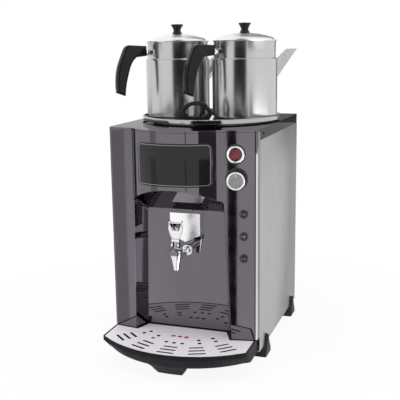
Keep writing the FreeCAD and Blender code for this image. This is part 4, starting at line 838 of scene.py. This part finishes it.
def lathe_grain(material, at, tones, smooth, rough, pitch=900, depth=0.00002, smear=0.0):
    """Fine rings round an upright axis, in tone, polish and relief, as a lathe leaves them.

    The rings draw a reflection out across themselves by the share called smear.
    """
    tree = material.node_tree
    from_axis = tree.nodes.new("ShaderNodeMapping")
    from_axis.inputs["Location"].default_value = (-at[0], -at[1], 0)
    flat = tree.nodes.new("ShaderNodeVectorMath")
    flat.operation = "MULTIPLY"
    flat.inputs[1].default_value = (1, 1, 0)
    length = tree.nodes.new("ShaderNodeVectorMath")
    length.operation = "LENGTH"
    height = tree.nodes.new("ShaderNodeSeparateXYZ")
    rings = tree.nodes.new("ShaderNodeCombineXYZ")
    noise = tree.nodes.new("ShaderNodeTexNoise")
    noise.inputs["Scale"].default_value = pitch
    noise.inputs["Detail"].default_value = 4
    place = tree.nodes["Texture Coordinate"].outputs["Object"]
    tree.links.new(place, from_axis.inputs["Vector"])
    tree.links.new(from_axis.outputs["Vector"], flat.inputs[0])
    tree.links.new(flat.outputs["Vector"], length.inputs[0])
    tree.links.new(place, height.inputs["Vector"])
    tree.links.new(length.outputs["Value"], rings.inputs["X"])
    tree.links.new(height.outputs["Z"], rings.inputs["Z"])
    tree.links.new(rings.outputs["Vector"], noise.inputs["Vector"])
    tint(material, noise.outputs["Fac"], *tones)
    polish(material, noise.outputs["Fac"], smooth, rough)
    relief(material, noise.outputs["Fac"], depth, 0.6)
    along_rings = tree.nodes.new("ShaderNodeVectorMath")
    along_rings.operation = "CROSS_PRODUCT"
    along_rings.inputs[0].default_value = (0, 0, 1)
    tree.links.new(flat.outputs["Vector"], along_rings.inputs[1])
    shader = tree.nodes["Principled BSDF"]
    tree.links.new(along_rings.outputs["Vector"], shader.inputs["Tangent"])
    shader.inputs["Anisotropic"].default_value = smear
    shader.inputs["Anisotropic Rotation"].default_value = 0.25


axis_y = part_origin_y + 0.012
plate_lid = finished_copy("boiler_lid", "boiler_lid_plate", "lid", 0.0003, 2, 24.0)
lid_steel = fresh_material("lid_steel", plate_lid, (0.72, 0.72, 0.71), 1.0, 0.14)
lathe_grain(lid_steel, (0, axis_y), ((0.40, 0.40, 0.40), (0.50, 0.50, 0.50)), 0.09, 0.17, 700)
plate_lid.data.materials.append(lid_steel)

# The lid's handle: a black phenolic loop with pointed shoulders, polished after moulding, on a flat
# foot that sits on the plate.
lid_loop = finished_copy("lid_handle", "lid_handle_loop", "lid", 0.0004, 2, 24.0)


def phenolic(name, piece):
    """Polished black phenolic, with the faint unevenness of a buffed moulding."""
    black = fresh_material(name, piece, (0.010, 0.010, 0.010), 0.0, 0.12)
    shader_value(black, "Specular IOR Level", 0.24)
    tint(black, streaks(black, (1, 1, 1), 60), (0.006, 0.006, 0.006), (0.014, 0.014, 0.014))
    polish(black, streaks(black, (1, 1, 1), 110, 4), 0.08, 0.2)
    relief(black, streaks(black, (1, 1, 1), 50, 2), 0.0002, 0.2)
    piece.data.materials.append(black)


phenolic("loop_phenolic", lid_loop)

# The two teapots: spun stainless bodies with a shoulder step and a flared rim, a welded spout, and a
# domed cover with a black knob. The handle is a black phenolic horn on a plated socket.
for pot, pot_x in (("pot_left", -0.078), ("pot_right", 0.078)):
    at = (pot_x, axis_y)
    body = finished_copy(pot + "_body", pot + "_shell", pot, 0.0003, 2, 24.0)
    body_steel = fresh_material(pot + "_body_steel", body, (0.7, 0.7, 0.69), 1.0, 0.2)
    lathe_grain(body_steel, at, ((0.53, 0.53, 0.525), (0.58, 0.58, 0.575)), 0.22, 0.28, 900, 0.000006, 0.6)
    body.data.materials.append(body_steel)

    spout = finished_copy(pot + "_spout", pot + "_spout_tube", pot, 0.0002, 2, 40.0)
    spout_steel = fresh_material(pot + "_spout_steel", spout, (0.74, 0.74, 0.73), 1.0, 0.16)
    tint(spout_steel, streaks(spout_steel, (1, 1, 0.2), 300, 3), (0.44, 0.44, 0.435), (0.54, 0.54, 0.535))
    polish(spout_steel, streaks(spout_steel, (1, 1, 0.2), 200, 3), 0.12, 0.22)
    spout.data.materials.append(spout_steel)

    cover = finished_copy(pot + "_lid", pot + "_cover_dome", pot + "_cover", 0.0002, 2, 24.0)
    # The covers' steel is given a far paler tone than the bodies' steel: a painted highlight from above on
    # the domes.
    painted_highlight_cover_steel = fresh_material(pot + "_painted_highlight_cover_steel", cover, (0.78, 0.78, 0.78), 1.0, 0.24)
    lathe_grain(painted_highlight_cover_steel, at, ((0.88, 0.88, 0.88), (0.94, 0.94, 0.94)), 0.28, 0.34, 800, 0.000006, 0.5)
    cover.data.materials.append(painted_highlight_cover_steel)

    knob = finished_copy(pot + "_knob", pot + "_cover_knob", pot + "_cover", 0.0004, 2, 24.0)
    phenolic(pot + "_knob_phenolic", knob)

    socket = finished_copy(pot + "_ferrule", pot + "_socket", pot, 0.0005, 3)
    chrome_finish(pot + "_socket_plating", socket, 0.84)

    horn = finished_copy(pot + "_handle", pot + "_horn", pot, 0.0004, 2, 24.0)
    phenolic(pot + "_horn_phenolic", horn)
